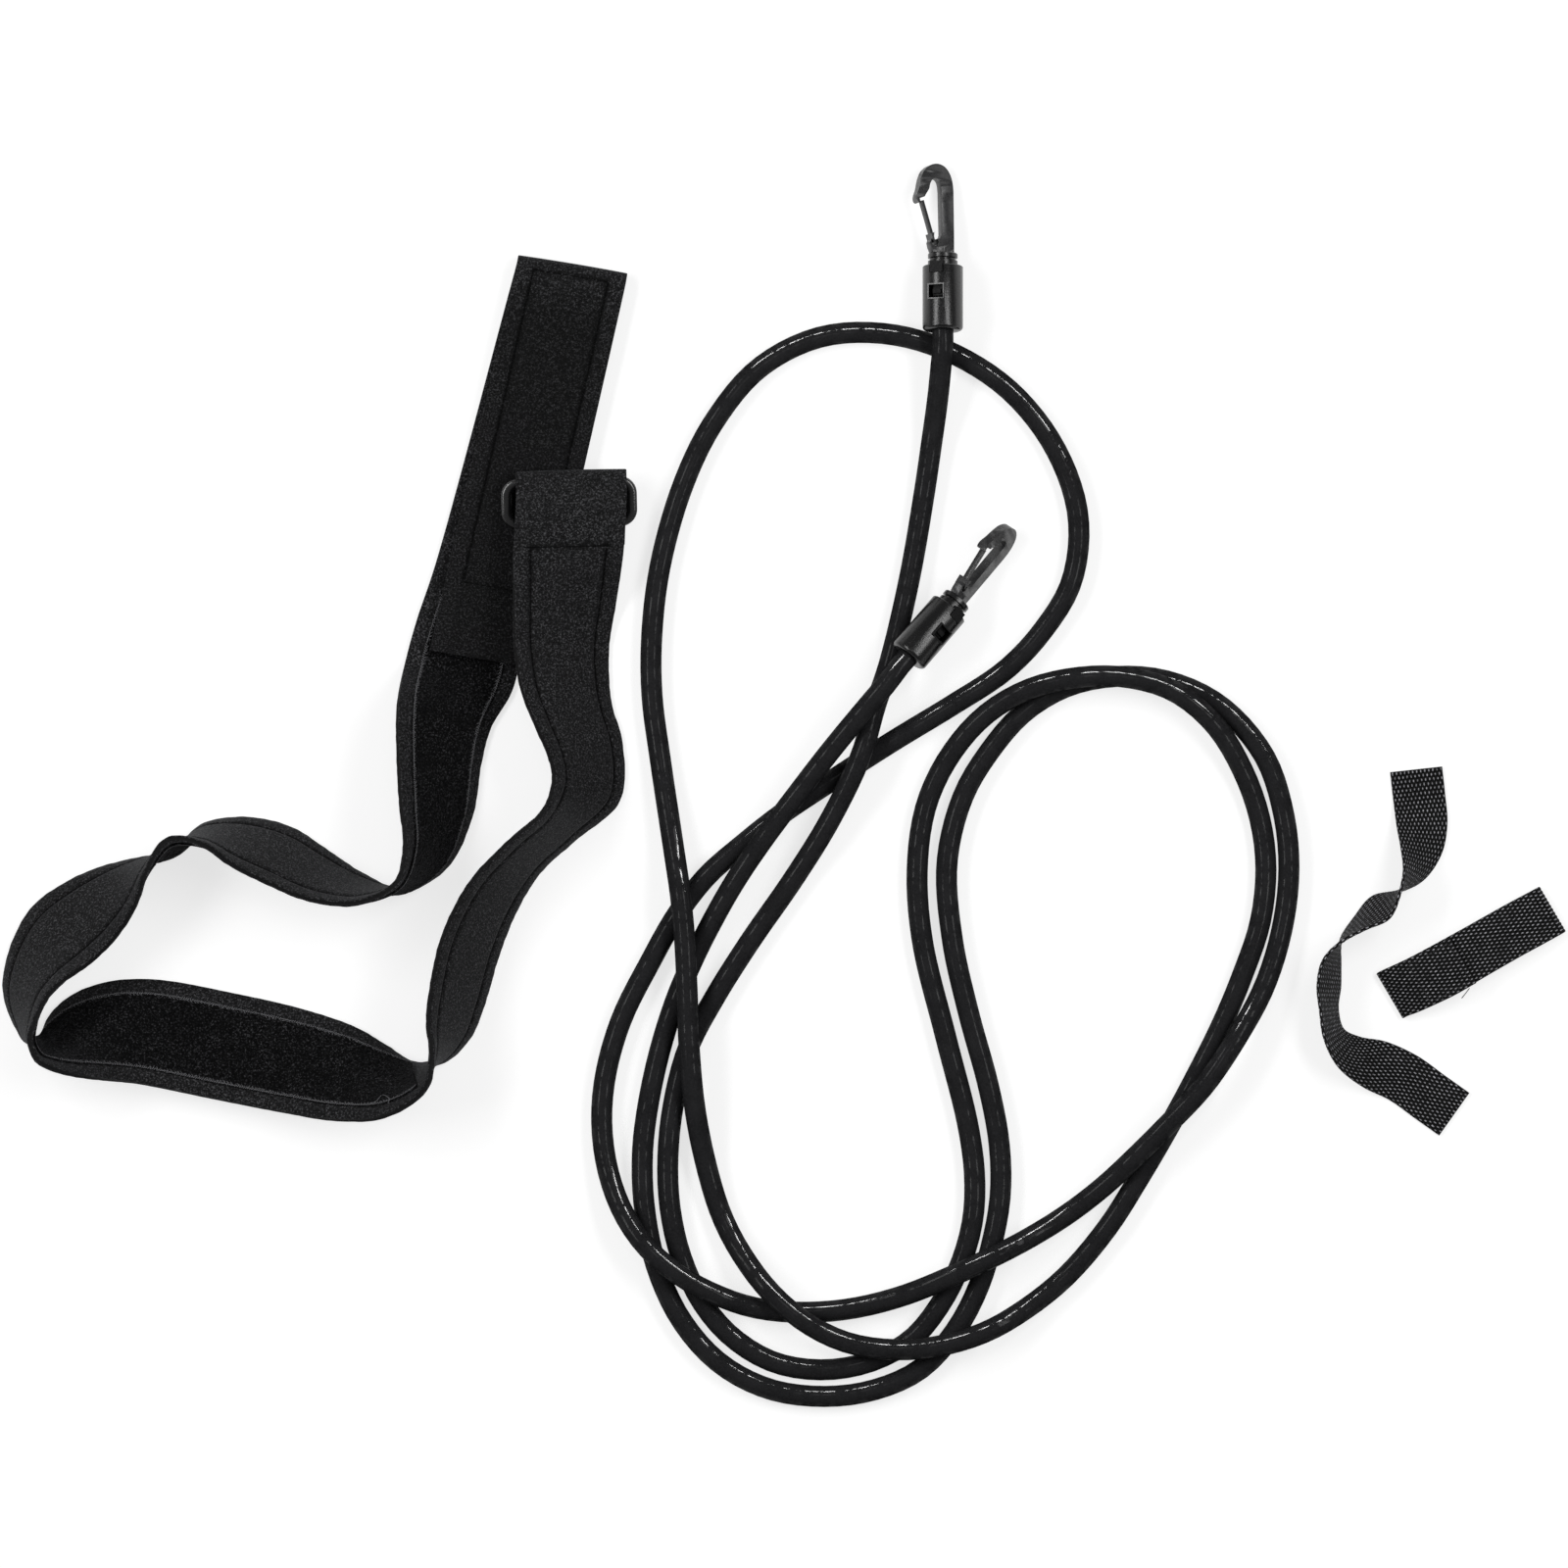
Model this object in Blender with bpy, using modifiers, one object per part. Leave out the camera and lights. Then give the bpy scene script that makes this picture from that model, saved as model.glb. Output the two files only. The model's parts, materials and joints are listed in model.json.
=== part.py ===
"""A stationary swim tether, laid out flat as it is photographed from above.

A waist belt with its ring, one long rubber tube with a snap hook at each end, and two
webbing anchors. Everything is in metres with +Z up. A position read from the photograph
is a pixel of its 1600 by 1600 frame; the tube's route is written in real sizes.
"""
import math

import bpy
from mathutils import Matrix, Vector

PIXEL = 0.00046                      # one pixel of the photograph on the floor
ORIGIN_PIXELS = (800.0, 663.0)       # the pixel over the object's origin
GAP = 0.0003                         # running gap between pieces that touch
OVERRUN = 0.001                      # how far a cutter passes a face that it opens
MERGE_DISTANCE = 0.00001

BELT_WIDTH = 0.052
BELT_THICKNESS = 0.003
TAPE_INSET = 0.0070                  # from the belt's edges to the tapes on it
TAPE_WIDTH = BELT_WIDTH - 2 * TAPE_INSET
TAPE_THICKNESS = 0.0008
TAPE_GAP = 0.0005                    # between the belt and a tape on it
FLAP_HEIGHT = 1.5 * BELT_THICKNESS + 2 * TAPE_THICKNESS + 2 * TAPE_GAP + GAP
STRAP_HEIGHT = 0.0222                # the strap at its highest, where it passes over the ring
STRAP_END_LIFT = 0.0040              # how far its last leaning row is off the floor
RING_WIRE = 0.0042
RING_ROOM = 0.0018                   # between the strap's edge and the inside of the ring
RING_LENGTH = BELT_WIDTH + 2 * (RING_WIRE + RING_ROOM)
RING_HEIGHT = 0.0240
RING_CORNER = 0.0060

TUBE_DIAMETER = 0.010
TUBE_STEP_DIAMETERS = 2.3            # how far apart the points on the tube are

BARREL_LENGTH = 0.0306
BARREL_RADIUS = 0.0095
BARREL_EDGE = 0.0019
BARREL_CAVITY_RADIUS = 0.00765
BARREL_REAR_WALL = 0.0090            # depth of the bore that grips the tube
TUBE_INSERT = 0.0125                 # how far the tube reaches into the barrel
WINDOW_WIDTH = 0.0070
WINDOW_LENGTH = 0.0062
WINDOW_START = 0.0144
NOTCH_WIDTH = 0.0070
NOTCH_LENGTH = 0.0042

PLUG_RADIUS = 0.0069
PLUG_NOSE_RADIUS = 0.0046
PLUG_RIM = 0.0018
PLUG_LENGTH = 0.0040

SEAT_INSERT_LENGTH = 0.0068
COLLAR_RADIUS = 0.0070
COLLAR_LENGTH = 0.0058
SEAT_WEB = 0.0009                    # floor of the seat that holds the stem's head
FINGER_WIDTH = 0.0050
FINGER_THICKNESS = 0.0010
FINGER_NUB = 0.0016
FINGER_NUB_LENGTH = 0.0020
KEY_WIDTH = 0.0062

STEM_RADIUS = 0.0026
STEM_HEAD_RADIUS = 0.0042
STEM_HEAD_LENGTH = 0.0027
HOOK_LENGTH = 0.0420
HOOK_WIDTH = 0.0190
HOOK_THICKNESS = 0.0046
HOOK_EDGE = 0.0010
GATE_THICKNESS = 0.0016
GATE_DEPTH = 0.0026
GATE_OPEN_DEGREES = 20.0
KNUCKLE_RADIUS = 0.0015

WEBBING_WIDTH = 0.025
WEBBING_THICKNESS = 0.0018

# The belt's free flap: centre line in pixels
FLAP_ACROSS_DEGREES = 170.5
FLAP_ROWS = ((494, 673), (536, 487), (583, 279))

# The belt's loop: centre line in pixels and lean in degrees (0 pile up, 180 jersey up)
LOOP_ROWS = (
    (572, 320, 0), (499, 590, 0), (479, 650, 0), (468, 690, 0), (453, 731, 31), (448, 775, 42),
    (445, 826, 50), (434, 874, 66), (406, 905, 86), (366, 907, 105), (325, 894, 117), (284, 873, 122),
    (242, 859, 115), (206, 853, 99), (175, 864, 82), (147, 882, 96), (120, 906, 117), (92, 930, 131),
    (62, 955, 135), (38, 985, 123), (26, 1015, 112), (26, 1043, 100), (30, 1062, 91), (41, 1070, 77),
    (58, 1067, 60), (82, 1059, 42), (112, 1053, 28), (150, 1053, 19), (230, 1068, 15), (300, 1083, 20),
    (352, 1096, 32), (394, 1104, 52), (428, 1098, 76), (447, 1077, 98), (458, 1050, 113),
    (467, 1015, 119), (480, 965, 121), (503, 915, 118), (535, 874, 112), (571, 841, 112),
    (598, 805, 128), (597, 765, 131), (585, 730, 134), (576, 695, 142), (573, 655, 148),
    (576, 612, 157),
)
STRAP_END_ACROSS_DEGREES = 181.5
STRAP_END_ROWS = ((580, 562), (582, 530), (583, 505))
STRAP_END_HEIGHT_SHARES = (0.968, 1.0, 0.923)
STRAP_TAIL_ROWS = ((583, 509), (582, 530), (581, 557))
STRAP_TAIL_HEIGHT_SHARES = (0.505, 0.775, 0.811)
RING_BAR_PIXELS = (580.0, 491.5)
RING_BAR_HEIGHT = 0.0146
RING_DROP_DEGREES = 10.0
PILE_TAPE_ROWS = (0, 32)             # first and last of the loop rows that the tape follows

# Rows of the twisted anchor strip: centre in pixels and lean in degrees
STRIP_ROWS = (
    (1445, 785, 0), (1448, 812, 0), (1451, 842, 14), (1450, 868, 38), (1442, 893, 66), (1428, 910, 92),
    (1409, 926, 122), (1388, 942, 108), (1369, 960, 92), (1359, 982, 70), (1356, 1006, 64),
    (1356, 1030, 70), (1361, 1055, 66), (1376, 1073, 46), (1402, 1086, 14), (1432, 1100, 0),
    (1460, 1120, 0), (1484, 1137, 0),
)

# Rows of the sewn anchor loop, from its outer overlap round to its inner end
LOOP_ACROSS_DEGREES = 120.5
LOOP_TURN_RADIUS = 0.0016
LOOP_HEIGHT = 0.0106
LOOP_START_ROWS = ((1493, 980), (1470, 993), (1449, 1003), (1433, 1010))
LOOP_START_HEIGHT_SHARES = (1.0, 0.981, 0.896, 0.642)
LOOP_LEFT_TURN = (1422, 1014)
LOOP_LOWER_ROWS = ((1450, 1001), (1500, 974), (1550, 946))
LOOP_LOWER_HEIGHT_SHARES = (0.094, 0.094, 0.094)
LOOP_RIGHT_TURN = (1580, 930)
LOOP_END_ROWS = ((1562, 940), (1540, 952), (1500, 975), (1470, 993), (1450, 1002))
LOOP_END_HEIGHT_SHARES = (0.585, 0.755, 0.802, 0.774, 0.698)

# Rear centre of each barrel in pixels, and its height as a share of the barrel's radius
FITTING_PIXELS = {"a": (962.0, 337.5), "b": (926.2, 670.5)}
FITTING_HEIGHT_SHARES = {"a": 1.705, "b": 2.137}

# Degrees: heading clockwise from +Y, tilt down towards the hook, the barrel's roll and the hook's roll
FITTING_DEGREES = {"a": (0.0, 10.0, -20.0, 25.0), "b": (40.6, 12.5, 33.0, 58.0)}

# The tube's route from fitting a to fitting b: x, y and height, in millimetres
MILLIMETRE = 0.001
TUBE_ROUTE = (
    (74.3, 139.0, 16.6), (72.3, 119.0, 11.8), (69.7, 100.0, 6.6), (65.6, 72.0, 5.1), (59.0, 34.0, 5.1),
    (49.6, -6.0, 6.5), (43.0, -26.0, 11.0), (36.0, -50.0, 16.6), (21.0, -81.0, 10.5), (3.5, -109.0, 5.1),
    (-16.0, -137.0, 5.1), (-33.0, -164.0, 5.1), (-45.0, -187.0, 5.1), (-52.0, -214.0, 5.1),
    (-54.5, -238.0, 5.1), (-53.5, -262.0, 5.1), (-48.0, -286.0, 5.1), (-38.0, -307.0, 5.1),
    (-24.0, -323.0, 5.1), (-4.5, -334.5, 5.1), (18.5, -338.0, 5.1), (41.0, -334.0, 5.1),
    (60.0, -323.5, 5.1), (73.5, -307.0, 5.1), (83.0, -288.0, 5.1), (88.5, -268.0, 5.1),
    (89.5, -248.0, 5.1), (86.5, -224.0, 5.1), (76.0, -182.0, 5.1), (65.0, -137.0, 5.1),
    (62.5, -104.0, 5.1), (66.5, -74.0, 5.1), (77.0, -51.0, 5.6), (94.0, -31.0, 9.5),
    (115.0, -18.5, 14.5), (138.0, -13.0, 15.8), (161.0, -13.0, 15.8), (183.0, -19.5, 15.6),
    (202.0, -35.0, 12.0), (215.5, -57.0, 7.2), (223.5, -80.0, 5.1), (226.2, -103.0, 5.1),
    (223.5, -128.0, 5.1), (215.5, -152.0, 5.1), (205.5, -176.0, 5.1), (192.0, -203.0, 5.1),
    (179.5, -226.0, 5.1), (166.0, -249.0, 5.1), (152.0, -271.0, 5.1), (133.0, -293.5, 5.1),
    (114.0, -309.0, 7.5), (94.0, -320.5, 14.0), (72.0, -327.0, 16.2), (50.0, -328.5, 15.8),
    (29.0, -325.0, 15.0), (10.5, -316.0, 16.6), (-6.0, -302.0, 14.8), (-20.0, -283.5, 8.0),
    (-29.5, -265.0, 5.1), (-37.0, -240.0, 6.5), (-42.0, -214.0, 13.0), (-44.5, -187.0, 15.8),
    (-45.5, -160.0, 15.8), (-46.5, -138.0, 15.8), (-48.5, -116.0, 16.3), (-52.0, -92.0, 9.5),
    (-58.0, -52.0, 5.1), (-62.0, -21.0, 5.1), (-62.0, 8.0, 5.1), (-58.0, 40.0, 5.1),
    (-47.5, 77.0, 5.1), (-33.5, 106.0, 5.1), (-12.0, 132.0, 5.1), (16.0, 146.5, 5.1),
    (46.0, 148.5, 5.1), (75.0, 141.0, 5.1), (105.0, 122.5, 5.1), (127.0, 95.0, 5.1),
    (138.0, 63.0, 5.1), (135.0, 32.0, 5.1), (121.5, 9.0, 5.1), (104.0, -9.5, 5.1),
    (79.0, -26.0, 5.1), (51.0, -43.0, 5.1), (23.0, -61.0, 5.1), (-1.0, -77.0, 5.1),
    (-20.0, -92.0, 5.1), (-36.0, -106.0, 5.1), (-50.0, -124.0, 5.1), (-62.5, -146.0, 5.1),
    (-76.5, -174.0, 5.1), (-84.0, -201.0, 5.1), (-85.5, -224.0, 5.1), (-82.0, -247.0, 7.0),
    (-74.0, -267.0, 12.5), (-62.5, -282.5, 16.3), (-47.0, -295.0, 16.9), (-29.0, -304.0, 13.3),
    (-13.0, -309.0, 6.5), (6.0, -311.0, 5.1), (30.0, -309.5, 6.0), (55.0, -303.5, 11.0),
    (80.0, -293.5, 16.3), (95.0, -286.5, 16.9), (113.5, -277.0, 11.4), (133.0, -265.0, 6.5),
    (150.5, -251.5, 9.5), (166.0, -237.0, 14.0), (181.0, -222.0, 15.8), (197.0, -205.0, 15.8),
    (212.0, -183.0, 14.0), (225.5, -158.0, 7.5), (234.0, -130.0, 5.1), (237.0, -103.0, 5.1),
    (234.5, -77.0, 5.1), (225.5, -50.0, 5.1), (205.0, -26.5, 5.1), (181.0, -15.0, 5.1),
    (157.0, -12.5, 5.1), (133.5, -17.0, 5.1), (113.0, -29.0, 5.1), (97.0, -47.0, 5.1),
    (84.0, -69.0, 5.1), (76.5, -100.0, 5.1), (79.0, -136.0, 5.1), (86.5, -170.0, 5.1),
    (96.0, -205.0, 5.1), (101.0, -232.0, 5.1), (101.5, -256.0, 5.1), (97.5, -279.0, 5.1),
    (90.5, -301.0, 5.1), (79.5, -321.0, 5.1), (63.5, -338.0, 5.1), (42.0, -347.5, 5.1),
    (18.5, -350.5, 5.1), (-7.0, -347.0, 5.1), (-30.0, -335.0, 5.1), (-48.0, -315.0, 5.1),
    (-60.0, -289.0, 5.1), (-65.5, -262.0, 5.1), (-66.5, -238.0, 5.1), (-64.5, -218.0, 5.1),
    (-59.0, -191.0, 5.1), (-51.0, -165.0, 5.1), (-42.5, -145.0, 5.1), (-34.0, -128.0, 6.5),
    (-23.5, -109.5, 11.0), (-11.5, -91.5, 15.4), (6.0, -68.0, 16.2), (23.0, -46.0, 19.5),
    (40.0, -25.5, 22.5), (50.5, -13.0, 22.6),
)


def clear_scene():
    for item in list(bpy.data.objects):
        bpy.data.objects.remove(item, do_unlink=True)


def make_collection(name, hidden=False):
    collection = bpy.data.collections.new(name)
    bpy.context.scene.collection.children.link(collection)
    collection.hide_render = hidden
    return collection


def make_material(name, colour, roughness, metallic=0.0):
    material = bpy.data.materials.new(name)
    material.use_nodes = True
    shader = material.node_tree.nodes["Principled BSDF"]
    shader.inputs["Base Color"].default_value = (*colour, 1.0)
    shader.inputs["Roughness"].default_value = roughness
    shader.inputs["Metallic"].default_value = metallic
    return material


def move_to(item, collection, material=None):
    for holder in list(item.users_collection):
        holder.objects.unlink(item)
    collection.objects.link(item)
    if material:
        item.data.materials.clear()
        item.data.materials.append(material)


def floor_place(pixels, height=0.0):
    """The point over a pixel of the photograph, at a height above the floor."""
    x, y = pixels
    return Vector(((x - ORIGIN_PIXELS[0]) * PIXEL, (ORIGIN_PIXELS[1] - y) * PIXEL, height))


def direction(degrees):
    angle = math.radians(degrees)
    return Vector((math.cos(angle), math.sin(angle), 0.0))


def smooth_points(points, steps):
    """Points of a centripetal Catmull-Rom curve, with so many steps in each span."""
    ends = [2 * points[0] - points[1]] + list(points) + [2 * points[-1] - points[-2]]
    curve = []
    for index in range(1, len(ends) - 2):
        p0, p1, p2, p3 = ends[index - 1:index + 3]
        t0 = 0.0
        t1 = t0 + (p1 - p0).length ** 0.5
        t2 = t1 + (p2 - p1).length ** 0.5
        t3 = t2 + (p3 - p2).length ** 0.5
        for step in range(steps):
            t = t1 + (t2 - t1) * step / steps
            a1 = p0.lerp(p1, (t - t0) / (t1 - t0))
            a2 = p1.lerp(p2, (t - t1) / (t2 - t1))
            a3 = p2.lerp(p3, (t - t2) / (t3 - t2))
            b1 = a1.lerp(a2, (t - t0) / (t2 - t0))
            b2 = a2.lerp(a3, (t - t1) / (t3 - t1))
            curve.append(b1.lerp(b2, (t - t1) / (t2 - t1)))
    curve.append(points[-1].copy())
    return curve


def even_points(curve, spacing):
    """The same curve with points at one even spacing, close to the one asked for."""
    lengths = [0.0]
    for before, after in zip(curve, curve[1:]):
        lengths.append(lengths[-1] + (after - before).length)
    count = max(2, round(lengths[-1] / spacing))
    result, index = [], 0
    for number in range(count + 1):
        target = lengths[-1] * number / count
        while index < len(lengths) - 2 and lengths[index + 1] < target:
            index += 1
        span = lengths[index + 1] - lengths[index]
        result.append(curve[index].lerp(curve[index + 1], (target - lengths[index]) / span))
    return result


class Ribbon:
    """A strip given by its centre line and the direction across it at each row."""

    def __init__(self, width):
        self.width = width
        self.centres = []
        self.across = []

    def add(self, centre, across):
        self.centres.append(centre)
        self.across.append(across.normalized())

    def add_flat_rows(self, rows, across_degrees, height, shares=None):
        for pixels, share in zip(rows, shares or [1.0] * len(rows)):
            self.add(floor_place(pixels, height * share), direction(across_degrees))

    def add_turn(self, centre, across_degrees, outward, radius, first, last, steps):
        """Rows round a bend: the angle runs from up, 90, towards outward, 0, to down, -90."""
        for step in range(steps + 1):
            angle = math.radians(first + (last - first) * step / steps)
            offset = outward * math.cos(angle) * radius + Vector((0.0, 0.0, math.sin(angle) * radius))
            self.add(centre + offset, direction(across_degrees))

    def add_leaning_rows(self, rows, thickness):
        """Rows that stand on one edge; each lean turns the strip about its own run."""
        places = [floor_place((row[0], row[1])) for row in rows]
        for index, row in enumerate(rows):
            before = places[max(index - 1, 0)]
            after = places[min(index + 1, len(rows) - 1)]
            run = (after - before).normalized()
            lean = math.radians(row[2])
            flat = Vector((run.y, -run.x, 0.0))
            across = flat * math.cos(lean) + Vector((0.0, 0.0, math.sin(lean)))
            rise = self.width * math.sin(lean) / 2 + thickness * abs(math.cos(lean)) / 2
            self.add(places[index] + Vector((0.0, 0.0, rise)), across)

    def edges(self, steps):
        near = [c - a * self.width / 2 for c, a in zip(self.centres, self.across)]
        far = [c + a * self.width / 2 for c, a in zip(self.centres, self.across)]
        return smooth_points(near, steps), smooth_points(far, steps)


def ribbon_solid(name, near, far, thickness, columns, collection, material, inset=0.0, backing=0.0):
    """A strip lofted between two edges; a tape is narrower and lies on a backing so thick."""
    offset = (backing + thickness) / 2 + TAPE_GAP if backing else 0.0
    rows = len(near)
    bpy.ops.mesh.primitive_grid_add(x_subdivisions=columns, y_subdivisions=rows - 1, size=1.0)
    item = bpy.context.active_object
    item.name = item.data.name = name
    vertices = item.data.vertices
    for row in range(rows):
        width = (far[row] - near[row]).length
        ahead, behind = min(row + 1, rows - 1), max(row - 1, 0)
        for column in range(columns + 1):
            share = (inset + (width - 2 * inset) * column / columns) / width
            run = near[ahead].lerp(far[ahead], share) - near[behind].lerp(far[behind], share)
            face = (far[row] - near[row]).cross(run).normalized()
            place = near[row].lerp(far[row], share)
            place.z = max(place.z, abs(face.z) * (backing or thickness) / 2)
            vertices[row * (columns + 1) + column].co = place + face * offset
    solid = item.modifiers.new("thickness", "SOLIDIFY")
    solid.thickness = thickness
    solid.offset = 0.0
    solid.use_even_offset = False
    move_to(item, collection, material)
    return item


def belt_ribbon():
    """The whole belt from its free flap to the tail sewn round the ring, row by row."""
    ribbon = Ribbon(BELT_WIDTH)
    ribbon.add_flat_rows(FLAP_ROWS, FLAP_ACROSS_DEGREES, FLAP_HEIGHT)
    upper, lower = FLAP_HEIGHT, BELT_THICKNESS / 2
    fold = floor_place(FLAP_ROWS[-1], (upper + lower) / 2)
    outward = direction(FLAP_ACROSS_DEGREES - 90.0)
    ribbon.add_turn(fold, FLAP_ACROSS_DEGREES, outward, (upper - lower) / 2, 60.0, -60.0, 4)
    loop_first = len(ribbon.centres)
    ribbon.add_leaning_rows(LOOP_ROWS, BELT_THICKNESS)
    ribbon.centres[-1].z += STRAP_END_LIFT
    ribbon.add_flat_rows(STRAP_END_ROWS, STRAP_END_ACROSS_DEGREES, STRAP_HEIGHT, STRAP_END_HEIGHT_SHARES)
    bar = floor_place((STRAP_END_ROWS[-1][0], RING_BAR_PIXELS[1]), RING_BAR_HEIGHT)
    radius = RING_WIRE / 2 + GAP + BELT_THICKNESS / 2
    outward = direction(STRAP_END_ACROSS_DEGREES - 90.0)
    ribbon.add_turn(bar, STRAP_END_ACROSS_DEGREES, outward, radius, 80.0, -80.0, 6)
    ribbon.add_flat_rows(STRAP_TAIL_ROWS, STRAP_END_ACROSS_DEGREES, STRAP_HEIGHT, STRAP_TAIL_HEIGHT_SHARES)
    return ribbon, loop_first


def build_belt(collection):
    jersey = make_material("belt_jersey", (0.022, 0.022, 0.024), 0.85)
    pile = make_material("pile_tape", (0.012, 0.012, 0.013), 0.95)
    hooks = make_material("hook_tape", (0.014, 0.014, 0.015), 0.7)
    ribbon, loop_first = belt_ribbon()
    steps = 5
    near, far = ribbon.edges(steps)
    ribbon_solid("belt_band", near, far, BELT_THICKNESS, 4, collection, jersey)
    first, last = ((loop_first + row) * steps for row in PILE_TAPE_ROWS)
    ribbon_solid("belt_pile_tape", near[first:last], far[first:last], TAPE_THICKNESS, 3,
                 collection, pile, TAPE_INSET, BELT_THICKNESS)
    last = (len(FLAP_ROWS) - 1) * steps
    ribbon_solid("belt_hook_tape", near[:last], far[:last], TAPE_THICKNESS, 2,
                 collection, hooks, TAPE_INSET, BELT_THICKNESS)


def rounded_rectangle(half_x, half_y, radius, steps):
    """The points of a rounded rectangle about the origin, in order."""
    corners = ((1, 1, 0), (-1, 1, 90), (-1, -1, 180), (1, -1, 270))
    points = []
    for side_x, side_y, start in corners:
        centre = Vector((side_x * (half_x - radius), side_y * (half_y - radius), 0.0))
        for step in range(steps + 1):
            points.append(centre + direction(start + 90.0 * step / steps) * radius)
    return points


def wire_object(name, points, radius, resolution, collection, material, cyclic=False):
    """A round wire or tube along a list of points."""
    curve = bpy.data.curves.new(name, "CURVE")
    curve.dimensions = "3D"
    curve.bevel_depth = radius
    curve.bevel_resolution = resolution
    curve.use_fill_caps = not cyclic
    spline = curve.splines.new("POLY")
    spline.points.add(len(points) - 1)
    for point, place in zip(spline.points, points):
        point.co = (*place, 1.0)
    spline.use_cyclic_u = cyclic
    item = bpy.data.objects.new(name, curve)
    collection.objects.link(item)
    curve.materials.append(material)
    return item


def build_ring(collection):
    plastic = make_material("ring_plastic", (0.035, 0.036, 0.038), 0.38)
    half_x = (RING_LENGTH - RING_WIRE) / 2
    half_y = (RING_HEIGHT - RING_WIRE) / 2
    points = rounded_rectangle(half_x, half_y, RING_CORNER, 5)
    points = [point - Vector((0.0, half_y, 0.0)) for point in points]
    ring = wire_object("belt_ring", points, RING_WIRE / 2, 3, collection, plastic, cyclic=True)
    ring.location = floor_place(RING_BAR_PIXELS, RING_BAR_HEIGHT)
    turn = STRAP_END_ACROSS_DEGREES - 180.0
    ring.rotation_euler = (math.radians(RING_DROP_DEGREES), 0.0, math.radians(turn))
    return ring


def turned(name, profile, collection, material, sides=32):
    """A closed profile of (radius, forward) turned about the local +Y axis."""
    curve = bpy.data.curves.new(name, "CURVE")
    curve.dimensions = "3D"
    spline = curve.splines.new("POLY")
    spline.points.add(len(profile) - 1)
    for point, (radius, forward) in zip(spline.points, profile):
        point.co = (radius, forward, 0.0, 1.0)
    spline.use_cyclic_u = True
    item = bpy.data.objects.new(name, curve)
    collection.objects.link(item)
    bpy.context.view_layer.objects.active = item
    bpy.ops.object.select_all(action="DESELECT")
    item.select_set(True)
    bpy.ops.object.convert(target="MESH")
    item = bpy.context.active_object
    screw = item.modifiers.new("turn", "SCREW")
    screw.axis = "Y"
    screw.steps = screw.render_steps = sides
    screw.use_merge_vertices = True
    screw.use_normal_calculate = True
    screw.merge_threshold = MERGE_DISTANCE
    move_to(item, collection, material)
    return item


def box(name, size, centre, collection, material=None, turn_degrees=0.0):
    bpy.ops.mesh.primitive_cube_add(size=1.0)
    item = bpy.context.active_object
    item.name = item.data.name = name
    turn = Matrix.Rotation(math.radians(turn_degrees), 4, "Z")
    item.data.transform(Matrix.Translation(centre) @ turn @ Matrix.Diagonal((*size, 1.0)))
    move_to(item, collection, material)
    return item


def rod(name, radius, length, centre, axis, collection, material=None, sides=32):
    """A cylinder along local Y or Z."""
    bpy.ops.mesh.primitive_cylinder_add(radius=radius, depth=length, vertices=sides)
    item = bpy.context.active_object
    item.name = item.data.name = name
    if axis == "Y":
        item.data.transform(Matrix.Rotation(math.radians(90.0), 4, "X"))
    item.data.transform(Matrix.Translation(centre))
    move_to(item, collection, material)
    return item


def combine(item, other, operation):
    step = item.modifiers.new(operation.lower(), "BOOLEAN")
    step.operation = operation
    step.solver = "EXACT"
    step.object = other
    other.display_type = "WIRE"
    other.hide_render = True


# The snap hook's outline: across and along, as shares of the hook's width and length
HOOK_OUTER_SHARES = (
    (0.253, 0.0), (0.253, 0.167), (0.240, 0.548), (0.224, 0.762), (0.153, 0.881), (0.011, 0.967),
    (-0.189, 1.0), (-0.400, 0.976), (-0.563, 0.910), (-0.653, 0.814), (-0.705, 0.702),
    (-0.768, 0.610), (-0.750, 0.560), (-0.700, 0.543),
)
HOOK_LIP_SHARES = ((-0.660, 0.555), (-0.680, 0.595), (-0.640, 0.609), (-0.545, 0.617))
HOOK_INNER_SHARES = (
    (-0.495, 0.657), (-0.421, 0.714), (-0.395, 0.769), (-0.326, 0.819), (-0.232, 0.836),
    (-0.147, 0.810), (-0.100, 0.738), (-0.084, 0.548), (-0.063, 0.200),
)
HOOK_BASE_SHARES = ((-0.100, 0.160), (-0.168, 0.150), (-0.363, 0.143), (-0.395, 0.107), (-0.368, 0.052),
                    (-0.316, 0.0))
GATE_PIVOT_SHARES = (-0.263, 0.1095)
GATE_TIP_SHARES = (-0.5874, 0.575)
GATE_ACROSS = (GATE_PIVOT_SHARES[0] - GATE_TIP_SHARES[0]) * HOOK_WIDTH
GATE_ALONG = (GATE_TIP_SHARES[1] - GATE_PIVOT_SHARES[1]) * HOOK_LENGTH
GATE_LENGTH = math.hypot(GATE_ACROSS, GATE_ALONG)
GATE_LEAN_DEGREES = math.degrees(math.atan2(GATE_ACROSS, GATE_ALONG))

COLLAR_START = BARREL_LENGTH + GAP
COLLAR_END = COLLAR_START + COLLAR_LENGTH
HOOK_START = COLLAR_END + GAP
SEAT_START = COLLAR_START - SEAT_INSERT_LENGTH
WEB_START = COLLAR_START - SEAT_WEB
HEAD_END = WEB_START - GAP
INSERT_RADIUS = BARREL_CAVITY_RADIUS - GAP
FINGER_TOP = (INSERT_RADIUS ** 2 - FINGER_WIDTH ** 2 / 4) ** 0.5 - GAP
PLUG_START = TUBE_INSERT + GAP


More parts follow.
